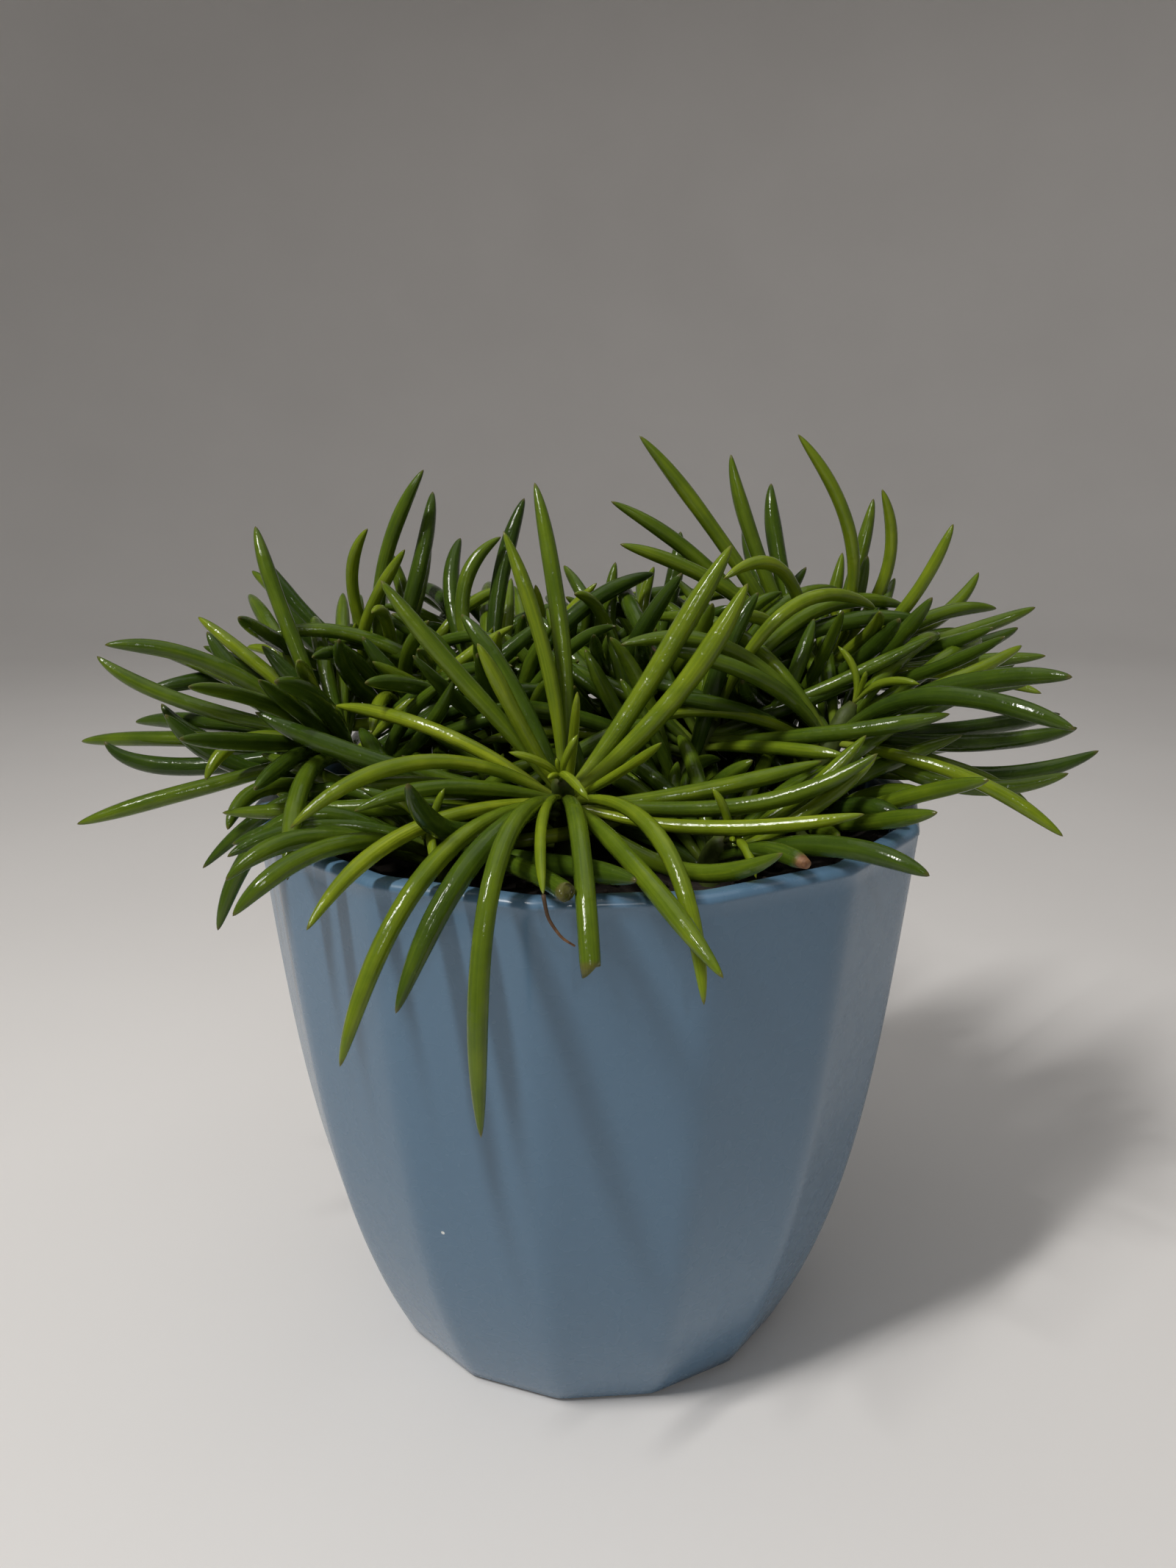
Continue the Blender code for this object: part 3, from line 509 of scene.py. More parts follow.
class Settling:
    """Bends the leaves until each is clear of its neighbours, of the stems, of the pot and of the soil.

    The first held leaves stay where they are.
    """

    def __init__(self, leaves, held):
        names = list(STEMS)
        self.held = held
        self.root = np.array([leaf["root"] for leaf in leaves])
        self.bend = np.array([leaf["bend"] for leaf in leaves])
        self.tip = np.array([leaf["tip"] for leaf in leaves])
        self.stem = np.array([names.index(leaf["stem"]) for leaf in leaves])
        self.radius = np.array([leaf_radii(leaf["age"]) for leaf in leaves])
        pieces = len(LEAF_RINGS) - 1
        self.owner = np.repeat(np.arange(len(leaves)), pieces)
        self.piece = np.tile(np.arange(pieces), len(leaves))
        axes = np.stack([stem_axis(name)[::STEM_STRIDE] for name in names])
        self.axis_lows = axes[:, :-1].reshape(-1, 3)
        self.axis_highs = axes[:, 1:].reshape(-1, 3)
        axis_stem = np.repeat(np.arange(len(names)), axes.shape[1] - 1)
        self.strangers = np.nonzero(self.stem[self.owner][:, None] != axis_stem[None])

    def measure(self):
        """Finds where each leaf's rings lie on its curve now."""
        self.share = even_shares(self.root, self.bend, self.tip, LEAF_RINGS)

    def ring_centres(self):
        """The middle of each ring of each leaf."""
        return curve(self.root[:, None], self.bend[:, None], self.tip[:, None], self.share[..., None])

    def segments(self):
        """The two ends of each straight piece between a leaf's rings."""
        points = self.ring_centres()
        return points[:, :-1].reshape(-1, 3), points[:, 1:].reshape(-1, 3)

    def along(self, which, part):
        """The leaf's radius and the share of its curve, part of the way along each segment."""
        leaf, piece = self.owner[which], self.piece[which]
        radius = self.radius[leaf, piece] * (1.0 - part) + self.radius[leaf, piece + 1] * part
        return radius, self.share[leaf, piece] * (1.0 - part) + self.share[leaf, piece + 1] * part

    def push(self, leaf, share, move, tip_follows=1.0):
        """Moves each leaf's bend and tip so that its point at a share follows the move."""
        free = leaf >= self.held
        leaf, share, move = leaf[free], share[free, None], move[free]
        np.add.at(self.bend, leaf, BEND_STEP * move * 2.0 * share * (1.0 - share))
        np.add.at(self.tip, leaf, TIP_STEP * move * share**2 * tip_follows)

    def part_leaves(self, with_sisters):
        """Pushes leaves apart where they come too near. A stem's own leaves may meet at their roots."""
        starts, ends = self.segments()
        middle = 0.5 * (starts + ends)
        squares = (middle**2).sum(axis=1)
        apart = squares[:, None] + squares[None] - 2.0 * middle @ middle.T
        first, second = np.nonzero((apart < REACH**2) & (self.owner[:, None] < self.owner[None]))
        sisters = self.stem[self.owner[first]] == self.stem[self.owner[second]]
        at_root = np.minimum(self.piece[first], self.piece[second]) == 0
        keep = ~sisters | (~at_root & with_sisters)
        first, second, sisters = first[keep], second[keep], sisters[keep]
        s, t, between = nearest_between(starts[first], ends[first], starts[second], ends[second])
        radius_a, share_a = self.along(first, s)
        radius_b, share_b = self.along(second, t)
        need = radius_a + radius_b + np.where(sisters, CLEAR_SISTERS, CLEAR_OTHERS)
        lack = need - np.linalg.norm(between, axis=1)
        close = lack > 0.0
        move = unit(between[close]) * 0.5 * lack[close, None]
        self.push(self.owner[first[close]], share_a[close], move)
        self.push(self.owner[second[close]], share_b[close], -move)

    def leave_stems(self):
        """Pushes leaves clear of the other stems."""
        starts, ends = self.segments()
        which, axis = self.strangers
        lows, highs = self.axis_lows[axis], self.axis_highs[axis]
        s, _, between = nearest_between(starts[which], ends[which], lows, highs)
        radius, share = self.along(which, s)
        lack = radius + STEM_RADIUS + CLEAR_OTHERS - np.linalg.norm(between, axis=1)
        close = lack > 0.0
        move = unit(between[close]) * lack[close, None]
        self.push(self.owner[which[close]], share[close], move)

    def clear_pot_and_soil(self):
        """Lifts leaves over the rim and off the soil, and keeps those inside clear of the wall."""
        rings = np.arange(len(LEAF_RINGS))
        places = np.linspace(FIRST_PLACE, rings[-1], PLACES)
        between_rings = np.array([np.interp(places, rings, row) for row in np.eye(len(rings))])
        points = np.einsum("lrk,rs->lsk", self.ring_centres(), between_rings)
        share = self.share @ between_rings
        height = points[..., 2]
        radius = self.radius @ between_rings + CLEAR_POT
        flat = points.reshape(-1, 3)
        out = (np.hypot(flat[:, 0], flat[:, 1]) / facet_share(flat)).reshape(radius.shape)
        rim_inside = RIM_RADIUS - WALL
        crosses = out[:, -1:] > RIM_RADIUS - 0.5 * WALL
        on_rim = crosses & (out > rim_inside - radius) & (out < RIM_RADIUS + radius)
        self.lift(np.where(on_rim, POT_HEIGHT + radius - height, 0.0), share, HANG)
        self.lift(np.where(out < rim_inside, SOIL_TOP + radius - height, 0.0), share, 1.0)
        low_inside = ~crosses & (height < POT_HEIGHT + radius)
        deep = np.where(low_inside, out - (rim_inside - radius), 0.0)
        leaf, at = np.nonzero(deep > 0.0)
        inward = unit(points[leaf, at] * (-1.0, -1.0, 0.0))
        self.push(leaf, share[leaf, at], inward * deep[leaf, at][:, None])

    def lift(self, lack, share, tip_follows):
        """Raises the points that lack height."""
        leaf, at = np.nonzero(lack > 0.0)
        move = np.zeros((len(leaf), 3))
        move[:, 2] = 0.5 * lack[leaf, at]
        self.push(leaf, share[leaf, at], move, tip_follows)

    def run(self, rounds):
        """Settles the leaves. The last rounds only part leaves of different stems."""
        for turn in range(rounds):
            if turn % REMEASURE == 0:
                self.measure()
            self.part_leaves(turn < rounds - STRANGERS_ROUNDS)
            self.leave_stems()
            self.clear_pot_and_soil()


def inner_leaves(name, taken, draw):
    """Shorter leaves deep in the bush, in the gaps between the others of the stem."""
    head = np.asarray(STEMS[name][1], float)
    used = [unit(leaf["tip"] - head) for leaf in taken]
    leaves = []
    for k, direction in open_directions(used, range(1, INNER_TRIES), INNER_TURN, INNER_RISE, INNER_SPREAD):
        if len(leaves) >= INNER_LEAVES:
            break
        tip = head + direction * draw.uniform(*INNER_LENGTH)
        tip[2] = np.clip(tip[2], INNER_LOW, INNER_TOP - FRONT_LOWER * max(0.0, -head[1]))
        if not has_room(tip) or math.hypot(tip[0], tip[1]) > INNER_OUT:
            continue
        bow = draw.uniform(*INNER_BOWS)
        leaf = leaf_of(name, tip, bow, INNER_AGES[k % len(INNER_AGES)], INNER_LENGTH[0])
        leaves.append({**leaf, "inner": True})
        used.append(direction)
    return leaves


def settle(leaves, rounds, held=0):
    """Settles the leaves for a number of rounds, all but the first held ones."""
    settling = Settling(leaves, held)
    settling.run(rounds)
    for leaf, bend, tip in zip(leaves, settling.bend, settling.tip):
        leaf["bend"], leaf["tip"] = bend, tip


def all_leaves():
    """The solids' leaves, bent clear of each other as there, and then the inner ones between them."""
    draw = np.random.default_rng(SEED)
    leaves = []
    for name in STEMS:
        placed = placed_leaves(name)
        leaves += placed + added_leaves(name, placed, draw)
    settle(leaves, SETTLE_ROUNDS)
    outer = len(leaves)
    draw = np.random.default_rng(INNER_SEED)
    for name in STEMS:
        leaves += inner_leaves(name, [leaf for leaf in leaves if leaf["stem"] == name], draw)
    settle(leaves, INNER_ROUNDS, outer)
    return leaves


def smooth_mesh(name, points, faces, material):
    """A smooth mesh of one material."""
    mesh = bpy.data.meshes.new(name)
    mesh.from_pydata(points, [], faces)
    mesh.polygons.foreach_set("use_smooth", [True] * len(mesh.polygons))
    mesh.materials.append(material)
    return mesh


def new_object(name, data):
    """A new object in the scene."""
    made = bpy.data.objects.new(name, data)
    bpy.context.scene.collection.objects.link(made)
    return made


class Mesh:
    """Collects points, faces and a few numbers for each point, and makes them one object."""

    def __init__(self):
        self.points, self.faces, self.facts, self.count = [], [], [], 0

    def add(self, points, faces, **facts):
        """Adds a closed piece. Each fact is one number, or one for each of its points."""
        self.points.append(np.asarray(points, float))
        self.faces += [tuple(self.count + corner for corner in face) for face in faces]
        self.facts.append({name: np.broadcast_to(value, (len(points),)) for name, value in facts.items()})
        self.count += len(points)

    def make(self, name, material, nodes=()):
        """Makes the object, which rides on the root and stands for the named nodes."""
        mesh = smooth_mesh(name, np.concatenate(self.points) * MM, self.faces, material)
        for fact in self.facts[0]:
            values = np.concatenate([facts[fact] for facts in self.facts]).astype(np.float32)
            mesh.attributes.new(fact, "FLOAT", "POINT").data.foreach_set("value", values)
        made = new_object(name, mesh)
        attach(made, "root")
        if nodes:
            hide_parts(*nodes)


def bands(rings, around):
    """The faces between rings of as many points each, from one ring to the next."""
    faces = []
    for low in range(0, (rings - 1) * around, around):
        for k in range(around):
            after = (k + 1) % around
            faces.append((low + k, low + after, low + around + after, low + around + k))
    return faces


def tube(path, radii, sides, squash=0.0):
    """Rings round a path, their faces, and the turn of each point round it as a cosine and a sine."""
    along = unit(np.gradient(path, axis=0))
    across = unit(np.cross(along, np.cross(path[-1] - path[0], TUBE_GUIDE)))
    other = np.cross(along, across)
    turn = 2.0 * math.pi * np.arange(sides) / sides
    wide, high = np.cos(turn), np.sin(turn) * (1.0 - squash)
    circle = wide[None, :, None] * across[:, None] + high[None, :, None] * other[:, None]
    points = (path[:, None] + np.asarray(radii)[:, None, None] * circle).reshape(-1, 3)
    rings = len(path)
    faces = [tuple(range(sides))[::-1], *bands(rings, sides)]
    faces.append(tuple(range((rings - 1) * sides, rings * sides)))
    return points, faces, np.tile(np.cos(turn), rings), np.tile(np.sin(turn), rings)


def add_tube(mesh, path, radii, sides, tint, along, draw, dry=0.0, stem=0.0):
    """Adds a plain tube to a plant's mesh, with what its material has to know of each point."""
    points, faces, wide, high = tube(path, radii, sides)
    mesh.add(points, faces, tint=tint, along=np.repeat(along, sides), wide=wide, high=high,
             dry=dry, own=draw.uniform(0.0, OWN_NOISE), stem=stem)


def leaf_shape(share, end):
    """A leaf's radius along it, as a share of its widest: narrow at the root, and at its point the end's."""
    grown = ROOT_WIDTH + (1.0 - ROOT_WIDTH) * np.sin(0.5 * math.pi * np.minimum(share / WIDEST_FROM, 1.0))
    past = np.clip((share - TAPER_FROM) / (1.0 - TAPER_FROM), 0.0, 1.0)
    return grown * np.maximum((1.0 - past ** TAPER_POWERS[0]) ** TAPER_POWERS[1], end)


def add_leaf(mesh, leaf, tint, draw):
    """A fine leaf on its settled curve. One that was cut ends in a slant, and a dried one shrivels."""
    steps = np.linspace(0.0, 1.0, LEAF_STEPS)
    share = 1.0 - (1.0 - steps) ** TIP_CROWDS
    ends = [leaf[name][None] for name in ("root", "bend", "tip")]
    path = curve(leaf["root"], leaf["bend"], leaf["tip"], even_shares(*ends, share)[0][:, None])
    aside = unit(np.cross(leaf["tip"] - leaf["root"], TUBE_GUIDE))
    sway = draw.uniform(-SWAY, SWAY) * np.sin(2.0 * math.pi * share)
    path = path + aside * sway[:, None]
    radii = leaf_shape(share, POINT_END)
    dry = np.zeros(LEAF_STEPS)
    if leaf["age"] == "cut":
        radii = np.minimum(leaf_shape(share * CUT_AT, 0.0), CUT_WIDEST)
        radii[-2:] *= CUT_EDGE
    if leaf["age"] == "dried":
        shrivel = np.clip((share - SHRIVEL_FROM) / SHRIVEL_OVER, 0.0, 1.0)
        radii = leaf_shape(share * CUT_AT, 0.0) * (1.0 - SHRIVELLED * shrivel)
        dry = np.clip((share - DRY_FROM) / DRY_OVER, 0.0, 1.0)
    waver = 1.0 + WAVER * np.sin(share * draw.uniform(*WAVER_RATE) + draw.uniform(*WAVER_START))
    radii = 0.5 * WIDTH[leaf["age"]] * radii * waver
    points, faces, wide, high = tube(path, radii, LEAF_SIDES, FLATTER)
    if leaf["age"] == "cut":
        slant = radii[-1] * wide[-LEAF_SIDES:]
        points[-LEAF_SIDES:] += slant[:, None] * unit(path[-1] - path[-2])
    mesh.add(points, faces, tint=tint, along=np.repeat(share, LEAF_SIDES), wide=wide, high=high,
             dry=np.repeat(dry, LEAF_SIDES), own=draw.uniform(0.0, OWN_NOISE), stem=0.0)


def add_thread(mesh, path, draw):
    """A thin withered strand along a few points."""
    share = np.linspace(0.0, 1.0, SMALL_STEPS)
    given = np.linspace(0.0, 1.0, len(path))
    points = np.column_stack([np.interp(share, given, axis) for axis in np.asarray(path, float).T])
    points[1:-1] = (points[:-2] + 2.0 * points[1:-1] + points[2:]) / 4.0
    radii = THREAD_RADIUS - THREAD_THINS * share
    add_tube(mesh, points, radii, THREAD_SIDES, TINT["thread"], share, draw, dry=1.0)


def add_stem(mesh, name, draw):
    """The stem, from the bottom of its hole in the soil to its head."""
    foot, _, _ = STEMS[name]
    axis = stem_axis(name)
    buried = np.array([(*foot, SOIL_TOP - HOLE_DEPTH + GAP), (*foot, SOIL_TOP - STEM_BURIED)])
    path = np.concatenate([buried, axis])
    radii = np.concatenate([[STEM_RADIUS] * 2, np.linspace(STEM_RADIUS, STEM_TIP_RADIUS, len(axis))])
    radii[-1] *= STEM_END
    along = np.linspace(0.0, 1.0, len(path))
    add_tube(mesh, path, radii, STEM_SIDES, TINT["stem"], along, draw, stem=1.0)


def add_buds(mesh, name, tint, draw):
    """The tiny new leaves at the growing tip."""
    axis = stem_axis(name)
    head, up = axis[-1], unit(axis[-1] - axis[-3])
    for k in range(BUDS):
        turn = BUD_TURN * k + draw.uniform(0.0, BUD_TURN_VARIES)
        aside = unit(np.cross(up, (math.cos(turn), math.sin(turn), BUD_TILT)))
        lean, length, radius = (first + more * k for first, more in (BUD_LEAN, BUD_LENGTH, BUD_RADIUS))
        tip = head + length * unit(up + lean * aside)
        bend = head + BUD_BEND[0] * length * up + BUD_BEND[1] * length * aside
        share = np.linspace(0.0, 1.0, SMALL_STEPS)
        radii = radius * leaf_shape(share, BUD_END)
        add_tube(mesh, curve(head, bend, tip, share[:, None]), radii, BUD_SIDES, tint, share, draw)


def plant(leaf_material):
    """One piece for each leafy stem, with all its leaves, and one for the dry scraps between them."""
    leaves = all_leaves()
    draw = np.random.default_rng(LOOK_SEED)
    for name in STEMS:
        mesh = Mesh()
        # Each stem's lift or drop in tint: the front one's own yellow-green, painted light on the right-back
        # one and painted shade on the rest.
        lighter = BRIGHT_STEMS.get(name, OTHER_STEMS)
        add_stem(mesh, name, draw)
        for place, leaf in enumerate(leaf for leaf in leaves if leaf["stem"] == name):
            # A leaf deep in the bush takes the inner value, painted shade, in place of its age's tint.
            shade = TINT["inner" if leaf.get("inner") else leaf["age"]]
            tint = np.clip(shade + lighter + draw.uniform(-TINT_VARIES, TINT_VARIES), 0.0, 1.0)
            add_leaf(mesh, leaf, tint, draw)
            if (name, place) == WITHERED_LEAF:
                add_thread(mesh, leaf["tip"] + np.array(WITHERED_CURL), draw)
        add_buds(mesh, name, TINT["bud"] + lighter, draw)
        mesh.make(name.replace("leafy_stem", "senecio"), leaf_material, [name])
    scraps = Mesh()
    for path in SCRAPS:
        add_thread(scraps, path, draw)
    scraps.make("dried_scraps", leaf_material)


def soft_facets(turn):
    """The facets' outline with its ridges a little rounded, as a share of the radius to a ridge."""
    middles = FIRST_RIDGE + math.pi * (2.0 * np.arange(FACETS) + 1.0) / FACETS
    facing = np.maximum(np.cos(turn[:, None] - middles[None]), 0.0)
    return math.cos(math.pi / FACETS) / (facing**RIDGE_POWER).sum(axis=1) ** (1.0 / RIDGE_POWER)


def ring(radius, turn, height):
    """A level ring of points round the pot's middle."""
    return np.column_stack([radius * np.sin(turn), -radius * np.cos(turn), np.full(len(turn), height)])


def pot(glaze):
    """The cup as a fine skin, with its foot, belly, rounded rim and inner wall."""
    around = FACET_STEPS * FACETS
    turn = FIRST_RIDGE + 2.0 * math.pi * np.arange(around) / around
    facets = soft_facets(turn)
    rim_inside = RIM_RADIUS - WALL
    outside = np.linspace(FOOT_TOP, POT_HEIGHT - OUTSIDE_BELOW_RIM, OUTSIDE_RINGS)
    inside = np.linspace(POT_HEIGHT - INSIDE_BELOW_RIM, FLOOR, INSIDE_RINGS)
    lip = [(LIP_ROUND * math.sin(a), LIP_ROUND * math.cos(a)) for a in np.linspace(LIP_FROM, 0.0, LIP_STEPS)]
    lip_height = POT_HEIGHT - LIP_ROUND
    profile = [(BASE_RADIUS * 0.5, 0.0)]
    profile += [(BASE_RADIUS - inwards, height) for inwards, height in FOOT]
    profile += [(float(ridge_radius(z)), float(z)) for z in outside]
    profile += [(RIM_RADIUS - LIP_ROUND + out, lip_height + up) for out, up in lip]
    profile += [(rim_inside + LIP_ROUND - out, lip_height + up) for out, up in lip[::-1]]
    profile += [(float(ridge_radius(z)) - WALL, float(z)) for z in inside]
    profile += [(BASE_RADIUS * 0.5, FLOOR)]
    rings = [ring(radius * facets, turn, height) for radius, height in profile]
    faces = bands(len(profile), around)
    bottom = len(profile) * around
    floor, last = bottom + 1, bottom - around
    faces += [(bottom, (k + 1) % around, k) for k in range(around)]
    faces += [(floor, last + k, last + (k + 1) % around) for k in range(around)]
    mesh = Mesh()
    mesh.add(np.concatenate([*rings, [[0.0, 0.0, 0.0], [0.0, 0.0, FLOOR]]]), faces)
    mesh.make("glazed_pot", glaze, ["pot"])


def soil(earth):
    """A lumpy bed of soil in the pot, with loose crumbs on it."""
    turn = FIRST_RIDGE + 2.0 * math.pi * np.arange(SOIL_AROUND) / SOIL_AROUND
    edge = soft_facets(turn)
    rings = [ring((ridge_radius(height) - WALL - GAP) * edge, turn, height)
             for height in (FLOOR + GAP, 0.5 * SOIL_TOP, SOIL_TOP - SOIL_SHOULDER)]
    top = ridge_radius(SOIL_TOP) - WALL - GAP
    for inwards in range(SOIL_RINGS):
        bed = ring(top * (1.0 - inwards / SOIL_RINGS) * edge, turn, SOIL_TOP - SOIL_LOWER)
        lumps = [sum(high * noise.noise(Vector((x / size, y / size, layer))) for size, layer, high in LUMPS)
                 for x, y, _ in bed]
        bed[:, 2] += LUMP_HEIGHT * np.clip(lumps, *LUMP_LIMITS)
        rings.append(bed)
    last = (len(rings) - 1) * SOIL_AROUND
    faces = [tuple(range(SOIL_AROUND))[::-1], *bands(len(rings), SOIL_AROUND)]
    faces += [(last + k, last + (k + 1) % SOIL_AROUND, last + SOIL_AROUND) for k in range(SOIL_AROUND)]
    mesh = Mesh()
    mesh.add(np.concatenate([*rings, [[0.0, 0.0, SOIL_TOP - SOIL_LOWER]]]), faces, own=0.0)
    mesh.make("potting_soil", earth, ["soil"])
    crumbs(earth)


def crumbs(earth):
    """Loose crumbs of soil. Each is an uneven ball of twenty triangles."""
    draw = np.random.default_rng(CRUMB_SEED)
    golden = (1.0 + 5.0**0.5) / 2.0
    corners = unit(np.array([(-1, golden, 0), (1, golden, 0), (-1, -golden, 0), (1, -golden, 0),
                             (0, -1, golden), (0, 1, golden), (0, -1, -golden), (0, 1, -golden),
                             (golden, 0, -1), (golden, 0, 1), (-golden, 0, -1), (-golden, 0, 1)], float))
    faces = [(0, 11, 5), (0, 5, 1), (0, 1, 7), (0, 7, 10), (0, 10, 11), (1, 5, 9), (5, 11, 4), (11, 10, 2),
             (10, 7, 6), (7, 1, 8), (3, 9, 4), (3, 4, 2), (3, 2, 6), (3, 6, 8), (3, 8, 9), (4, 9, 5),
             (2, 4, 11), (6, 2, 10), (8, 6, 7), (9, 8, 1)]
    mesh = Mesh()
    for _ in range(CRUMBS):
        out, turn = CRUMB_REACH * draw.uniform(0.0, 1.0) ** 0.5, draw.uniform(0.0, 2.0 * math.pi)
        size = draw.uniform(*CRUMB_SIZE)
        lump = corners * draw.uniform(*CRUMB_UNEVEN, (len(corners), 1)) * size * CRUMB_SHAPE
        place = (out * math.cos(turn), out * math.sin(turn), SOIL_TOP - CRUMB_SUNK)
        mesh.add(lump + place, faces, own=draw.uniform(0.0, OWN_NOISE))
    mesh.make("soil_crumbs", earth)


class Shader:
    """A material's nodes, made by short calls."""

    def __init__(self, name):
        self.material = bpy.data.materials.new(name)
        self.material.use_nodes = True
        self.tree = self.material.node_tree
        self.surface = self.tree.nodes["Principled BSDF"]

    def set(self, node, inputs):
        """Links each output given for one of the node's inputs, and sets each plain value."""
        for socket, value in inputs.items():
            if isinstance(value, bpy.types.NodeSocket):
                self.tree.links.new(value, node.inputs[socket])
            else:
                node.inputs[socket].default_value = value

    def add(self, kind, out=0, inputs=None, **options):
        """A new node's output."""
        node = self.tree.nodes.new("ShaderNode" + kind)
        for option, value in options.items():
            setattr(node, option, value)
        self.set(node, inputs or {})
        return node.outputs[out]

    def attribute(self, name):
        """A number that the mesh gives for each of its points."""
        return self.add("Attribute", "Fac", attribute_name=name)

    def math(self, operation, first, second=0.0):
        """A sum, a product or the like of two values."""
        return self.add("Math", 0, {0: first, 1: second}, operation=operation)

    def span(self, value, low, high, to_low=0.0, to_high=1.0):
        """The value's way from low to high, smoothly turned into one from to_low to to_high."""
        inputs = {"Value": value, "From Min": low, "From Max": high, "To Min": to_low, "To Max": to_high}
        return self.add("MapRange", 0, inputs, interpolation_type="SMOOTHSTEP")

    def noise(self, vector, scale, detail=2.0, rough=0.5):
        """Cloudy noise, from 0 to 1."""
        inputs = {"Vector": vector, "Scale": scale, "Detail": detail, "Roughness": rough}
        return self.add("TexNoise", "Fac", inputs)

    def mix(self, share, first, second):
        """The first colour, with a share of the second."""
        made = self.tree.nodes.new("ShaderNodeMix")
        made.data_type = "RGBA"
        second = (*second, 1.0) if isinstance(second, tuple) else second
        self.set(made, {0: share, 6: first, 7: second})
        return made.outputs[2]

    def ramp(self, value, *stops):
        """A colour that runs through the stops, each a place and a colour."""
        made = self.tree.nodes.new("ShaderNodeValToRGB")
        self.set(made, {0: value})
        band = made.color_ramp
        band.elements[0].position, band.elements[0].color = stops[0][0], (*stops[0][1], 1.0)
        band.elements[1].position, band.elements[1].color = stops[-1][0], (*stops[-1][1], 1.0)
        for place, colour in stops[1:-1]:
            band.elements.new(place).color = (*colour, 1.0)
        return made.outputs[0]

    def bump(self, height, distance, strength=1.0, below=None):
        """A normal that a height tilts, on top of the relief below it."""
        inputs = {"Height": height, "Distance": distance, "Strength": strength}
        if below is not None:
            inputs["Normal"] = below
        return self.add("Bump", 0, inputs)


def leaf_look():
    """Glossy succulent skin: a yellow-green to dark green by age, with streaks along the leaf."""
    look = Shader("senecio_leaf")
    tint, along, own = look.attribute("tint"), look.attribute("along"), look.attribute("own")
    wide, high, dry, stem = (look.attribute(name) for name in ("wide", "high", "dry", "stem"))
    place = look.add("TexCoord", "Object")
    onwards = look.math("ADD", look.math("MULTIPLY", along, 0.9), own)
    lengthwise = look.add("CombineXYZ", 0, {"X": wide, "Y": high, "Z": onwards})
    streaks = look.noise(lengthwise, 3.6, 3.0)
    blotches = look.noise(place, 160.0, 3.0)
    specks = look.noise(place, 1500.0, 2.0)
    shade = look.math("ADD", tint, look.span(blotches, 0.25, 0.75, -0.09, 0.09))
    shade = look.math("ADD", shade, look.span(streaks, 0.34, 0.66, -0.07, 0.07))
    skin = look.ramp(shade, *LEAF_GREENS)
    upper = look.span(high, 0.55, 0.95)
    skin = look.mix(look.math("MULTIPLY", upper, 0.28), skin, DARK_UPPER)
    pale = look.span(along, 0.0, 0.22, 0.5, 0.0)
    skin = look.mix(look.math("MULTIPLY", pale, tint), skin, PALE_ROOT)
    skin = look.mix(look.span(specks, 0.66, 0.8, 0.0, 0.2), skin, PALE_SPECKS)
    skin = look.mix(look.span(along, 0.975, 0.995, 0.0, 0.6), skin, BROWN_TIP)
    bark = look.ramp(look.noise(place, 700.0, 4.0), *STEM_BARK)
    skin = look.mix(look.math("MULTIPLY", stem, 0.7), skin, bark)
    withered = look.ramp(look.noise(place, 900.0, 3.0), *WITHERED)
    withered = look.mix(look.span(along, 0.2, 0.8, 0.85, 0.0), withered, WITHERED_ROOT)
    skin = look.mix(dry, skin, withered)
    relief = look.bump(streaks, 0.0003, 0.2)
    relief = look.bump(look.noise(place, 260.0, 3.0), 0.0006, 0.35, relief)
    relief = look.bump(specks, 0.00008, 0.5, relief)
    gloss = look.span(look.noise(place, 300.0), 0.3, 0.7, 0.11, 0.2)
    gloss = look.math("ADD", gloss, look.math("MULTIPLY", look.math("MAXIMUM", dry, stem), 0.4))
    look.set(look.surface, {"Base Color": skin, "Roughness": gloss, "Normal": relief, "IOR": 1.36,
                            "Subsurface Weight": 0.08, "Subsurface Scale": 0.0012, "Specular IOR Level": 0.5})
    look.surface.inputs["Subsurface Radius"].default_value = (0.5, 1.0, 0.15)
    return look.material


def glaze_look():
    """Blue-grey glaze that shades from patch to patch, with pinholes, a white fleck and a bare foot."""
    look = Shader("blue_grey_glaze")
    place = look.add("TexCoord", "Object")
    clouds = look.noise(place, 14.0, 1.0, 0.4)
    fine = look.noise(place, 300.0, 1.0)
    glaze = look.ramp(clouds, *GLAZE_BLUES)
    glaze = look.mix(look.span(fine, 0.3, 0.8, 0.0, 0.025), glaze, GLAZE_GRAIN)
    pits = look.add("TexVoronoi", "Distance", {"Vector": place, "Scale": 60.0})
    glaze = look.mix(look.span(pits, 0.0, 0.016, 0.35, 0.0), glaze, GLAZE_PITS)
    fleck_place = tuple(MM * axis for axis in FLECK_PLACE)
    from_fleck = look.add("VectorMath", "Value", {0: place, 1: fleck_place}, operation="DISTANCE")
    fleck = look.span(from_fleck, 0.6 * FLECK_SIZE * MM, FLECK_SIZE * MM, 1.0, 0.0)
    glaze = look.mix(fleck, glaze, WHITE_FLECK)
    height = look.add("SeparateXYZ", "Z", {"Vector": place})
    glaze = look.mix(look.span(height, 0.00018, 0.0004, 0.85, 0.0), glaze, BARE_FOOT)
    relief = look.bump(look.noise(place, 70.0, 0.0), 0.0003, 0.08)
    gloss = look.span(fine, 0.2, 0.8, 0.25, 0.29)
    look.set(look.surface, {"Base Color": glaze, "Roughness": gloss, "Normal": relief, "IOR": 1.5,
                            "Coat Weight": 0.15, "Coat Roughness": 0.12})
    return look.material


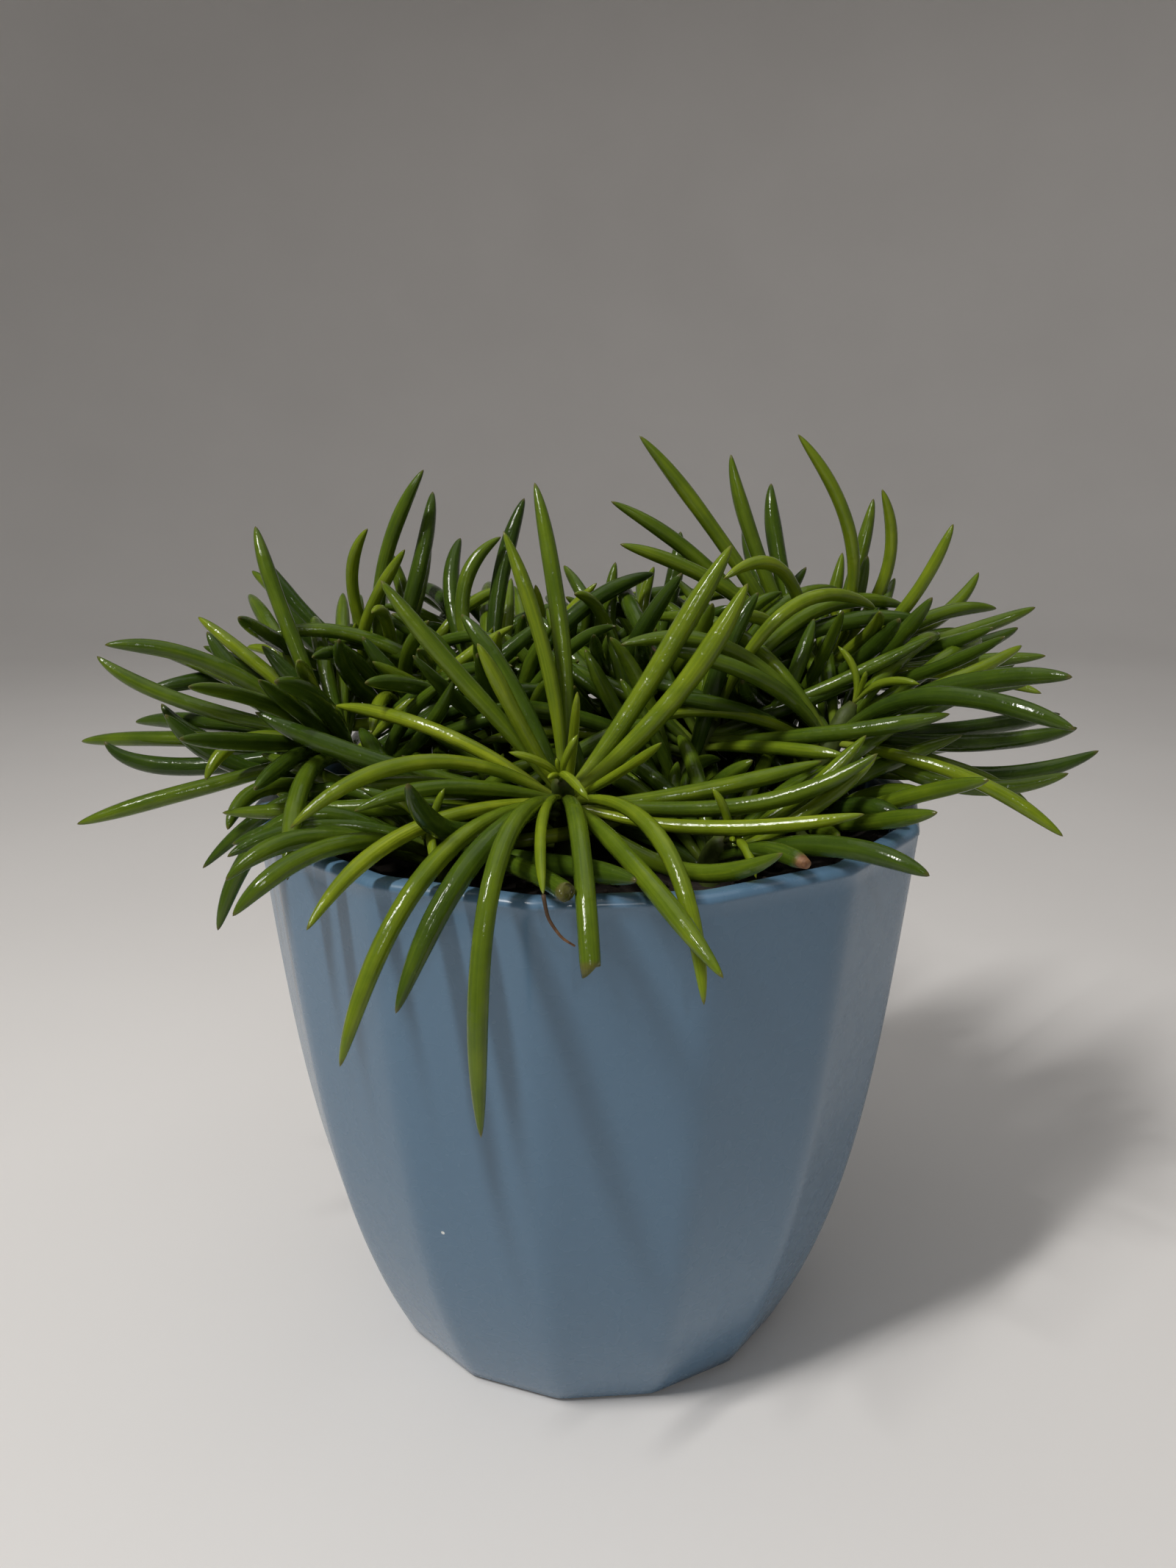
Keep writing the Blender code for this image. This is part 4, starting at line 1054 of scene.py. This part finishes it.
def earth_look():
    """Damp potting soil: near-black brown with paler grains. Some crumbs are paler than others."""
    look = Shader("damp_soil")
    place = look.add("TexCoord", "Object")
    grains = look.noise(place, 900.0, 5.0, 0.7)
    clods = look.noise(place, 180.0, 3.0)
    paler = look.span(look.math("FRACT", look.attribute("own")), 0.6, 1.0, 0.0, 0.3)
    earth = look.ramp(grains, *SOIL_BROWNS)
    earth = look.mix(look.span(clods, 0.3, 0.7, 0.0, 0.5), earth, SOIL_CLODS)
    earth = look.mix(paler, earth, PALE_CRUMBS)
    relief = look.bump(clods, 0.0015, 0.8)
    relief = look.bump(grains, 0.0004, 0.9, relief)
    look.set(look.surface, {"Base Color": earth, "Roughness": 0.92, "Normal": relief})
    return look.material


def stage():
    """A plain pale floor that sweeps up all round."""
    edge = STAGE_FLAT[-1]
    profile = [(radius, 0.0) for radius in STAGE_FLAT]
    profile += [(edge + STAGE_CURVE * math.sin(a), STAGE_CURVE - STAGE_CURVE * math.cos(a))
                for a in np.linspace(*STAGE_CURVE_TURNS)]
    profile += [(edge + STAGE_CURVE, STAGE_TOP)]
    turn = 2.0 * math.pi * np.arange(STAGE_SIDES) / STAGE_SIDES
    points = [(radius * math.cos(a), radius * math.sin(a), z) for radius, z in profile for a in turn]
    faces = [tuple(range(STAGE_SIDES)), *bands(len(profile), STAGE_SIDES)]
    look = Shader("pale_floor")
    place = look.add("TexCoord", "Object")
    tone = look.ramp(look.noise(place, 6.0), *PALE_FLOOR)
    look.set(look.surface, {"Base Color": tone, "Roughness": 0.75})
    floor = new_object("floor", smooth_mesh("floor", points, faces, look.material))


def light(name, place, size, power, tone, spread):
    """A lamp, so wide and so tall, that points at the plant and spreads its light by a number of degrees."""
    data = bpy.data.lights.new(name, "AREA")
    data.shape = "RECTANGLE"
    data.size, data.size_y = size
    data.energy = power
    data.color = tone
    data.spread = math.radians(spread)
    lamp = new_object(name, data)
    lamp.location = place
    lamp.rotation_euler = (Vector(LAMP_TARGET) - Vector(place)).to_track_quat("-Z", "Y").to_euler()


def lights():
    """A tall key lamp from the left, a small one in front, a broad one above and a dim even world."""
    light("key", (-0.42, -0.42, 0.96), (0.05, 0.34), 3.3, WARMER, KEY_SPREAD)
    light("front", (0.08, -0.75, 0.55), (0.02, 0.09), 0.5, WHITE, WIDE_SPREAD)
    light("top", (0.1, 0.1, 1.2), (1.2, 1.2), 2.9, WARM, WIDE_SPREAD)
    world = bpy.data.worlds.new("studio")
    world.use_nodes = True
    background = world.node_tree.nodes["Background"]
    background.inputs["Color"].default_value = WORLD_TONE
    background.inputs["Strength"].default_value = WORLD_STRENGTH
    bpy.context.scene.world = world
    bpy.context.scene.view_settings.view_transform = "Standard"


def camera():
    """The camera at the photograph's place, height and tilt."""
    data = bpy.data.cameras.new("camera")
    data.lens = LENS
    data.sensor_width = SENSOR
    view = new_object("camera", data)
    view.location = CAMERA_PLACE
    view.rotation_euler = (CAMERA_TILT, 0.0, 0.0)
    bpy.context.scene.camera = view


camera()
stage()
lights()
pot(glaze_look())
soil(earth_look())
plant(leaf_look())
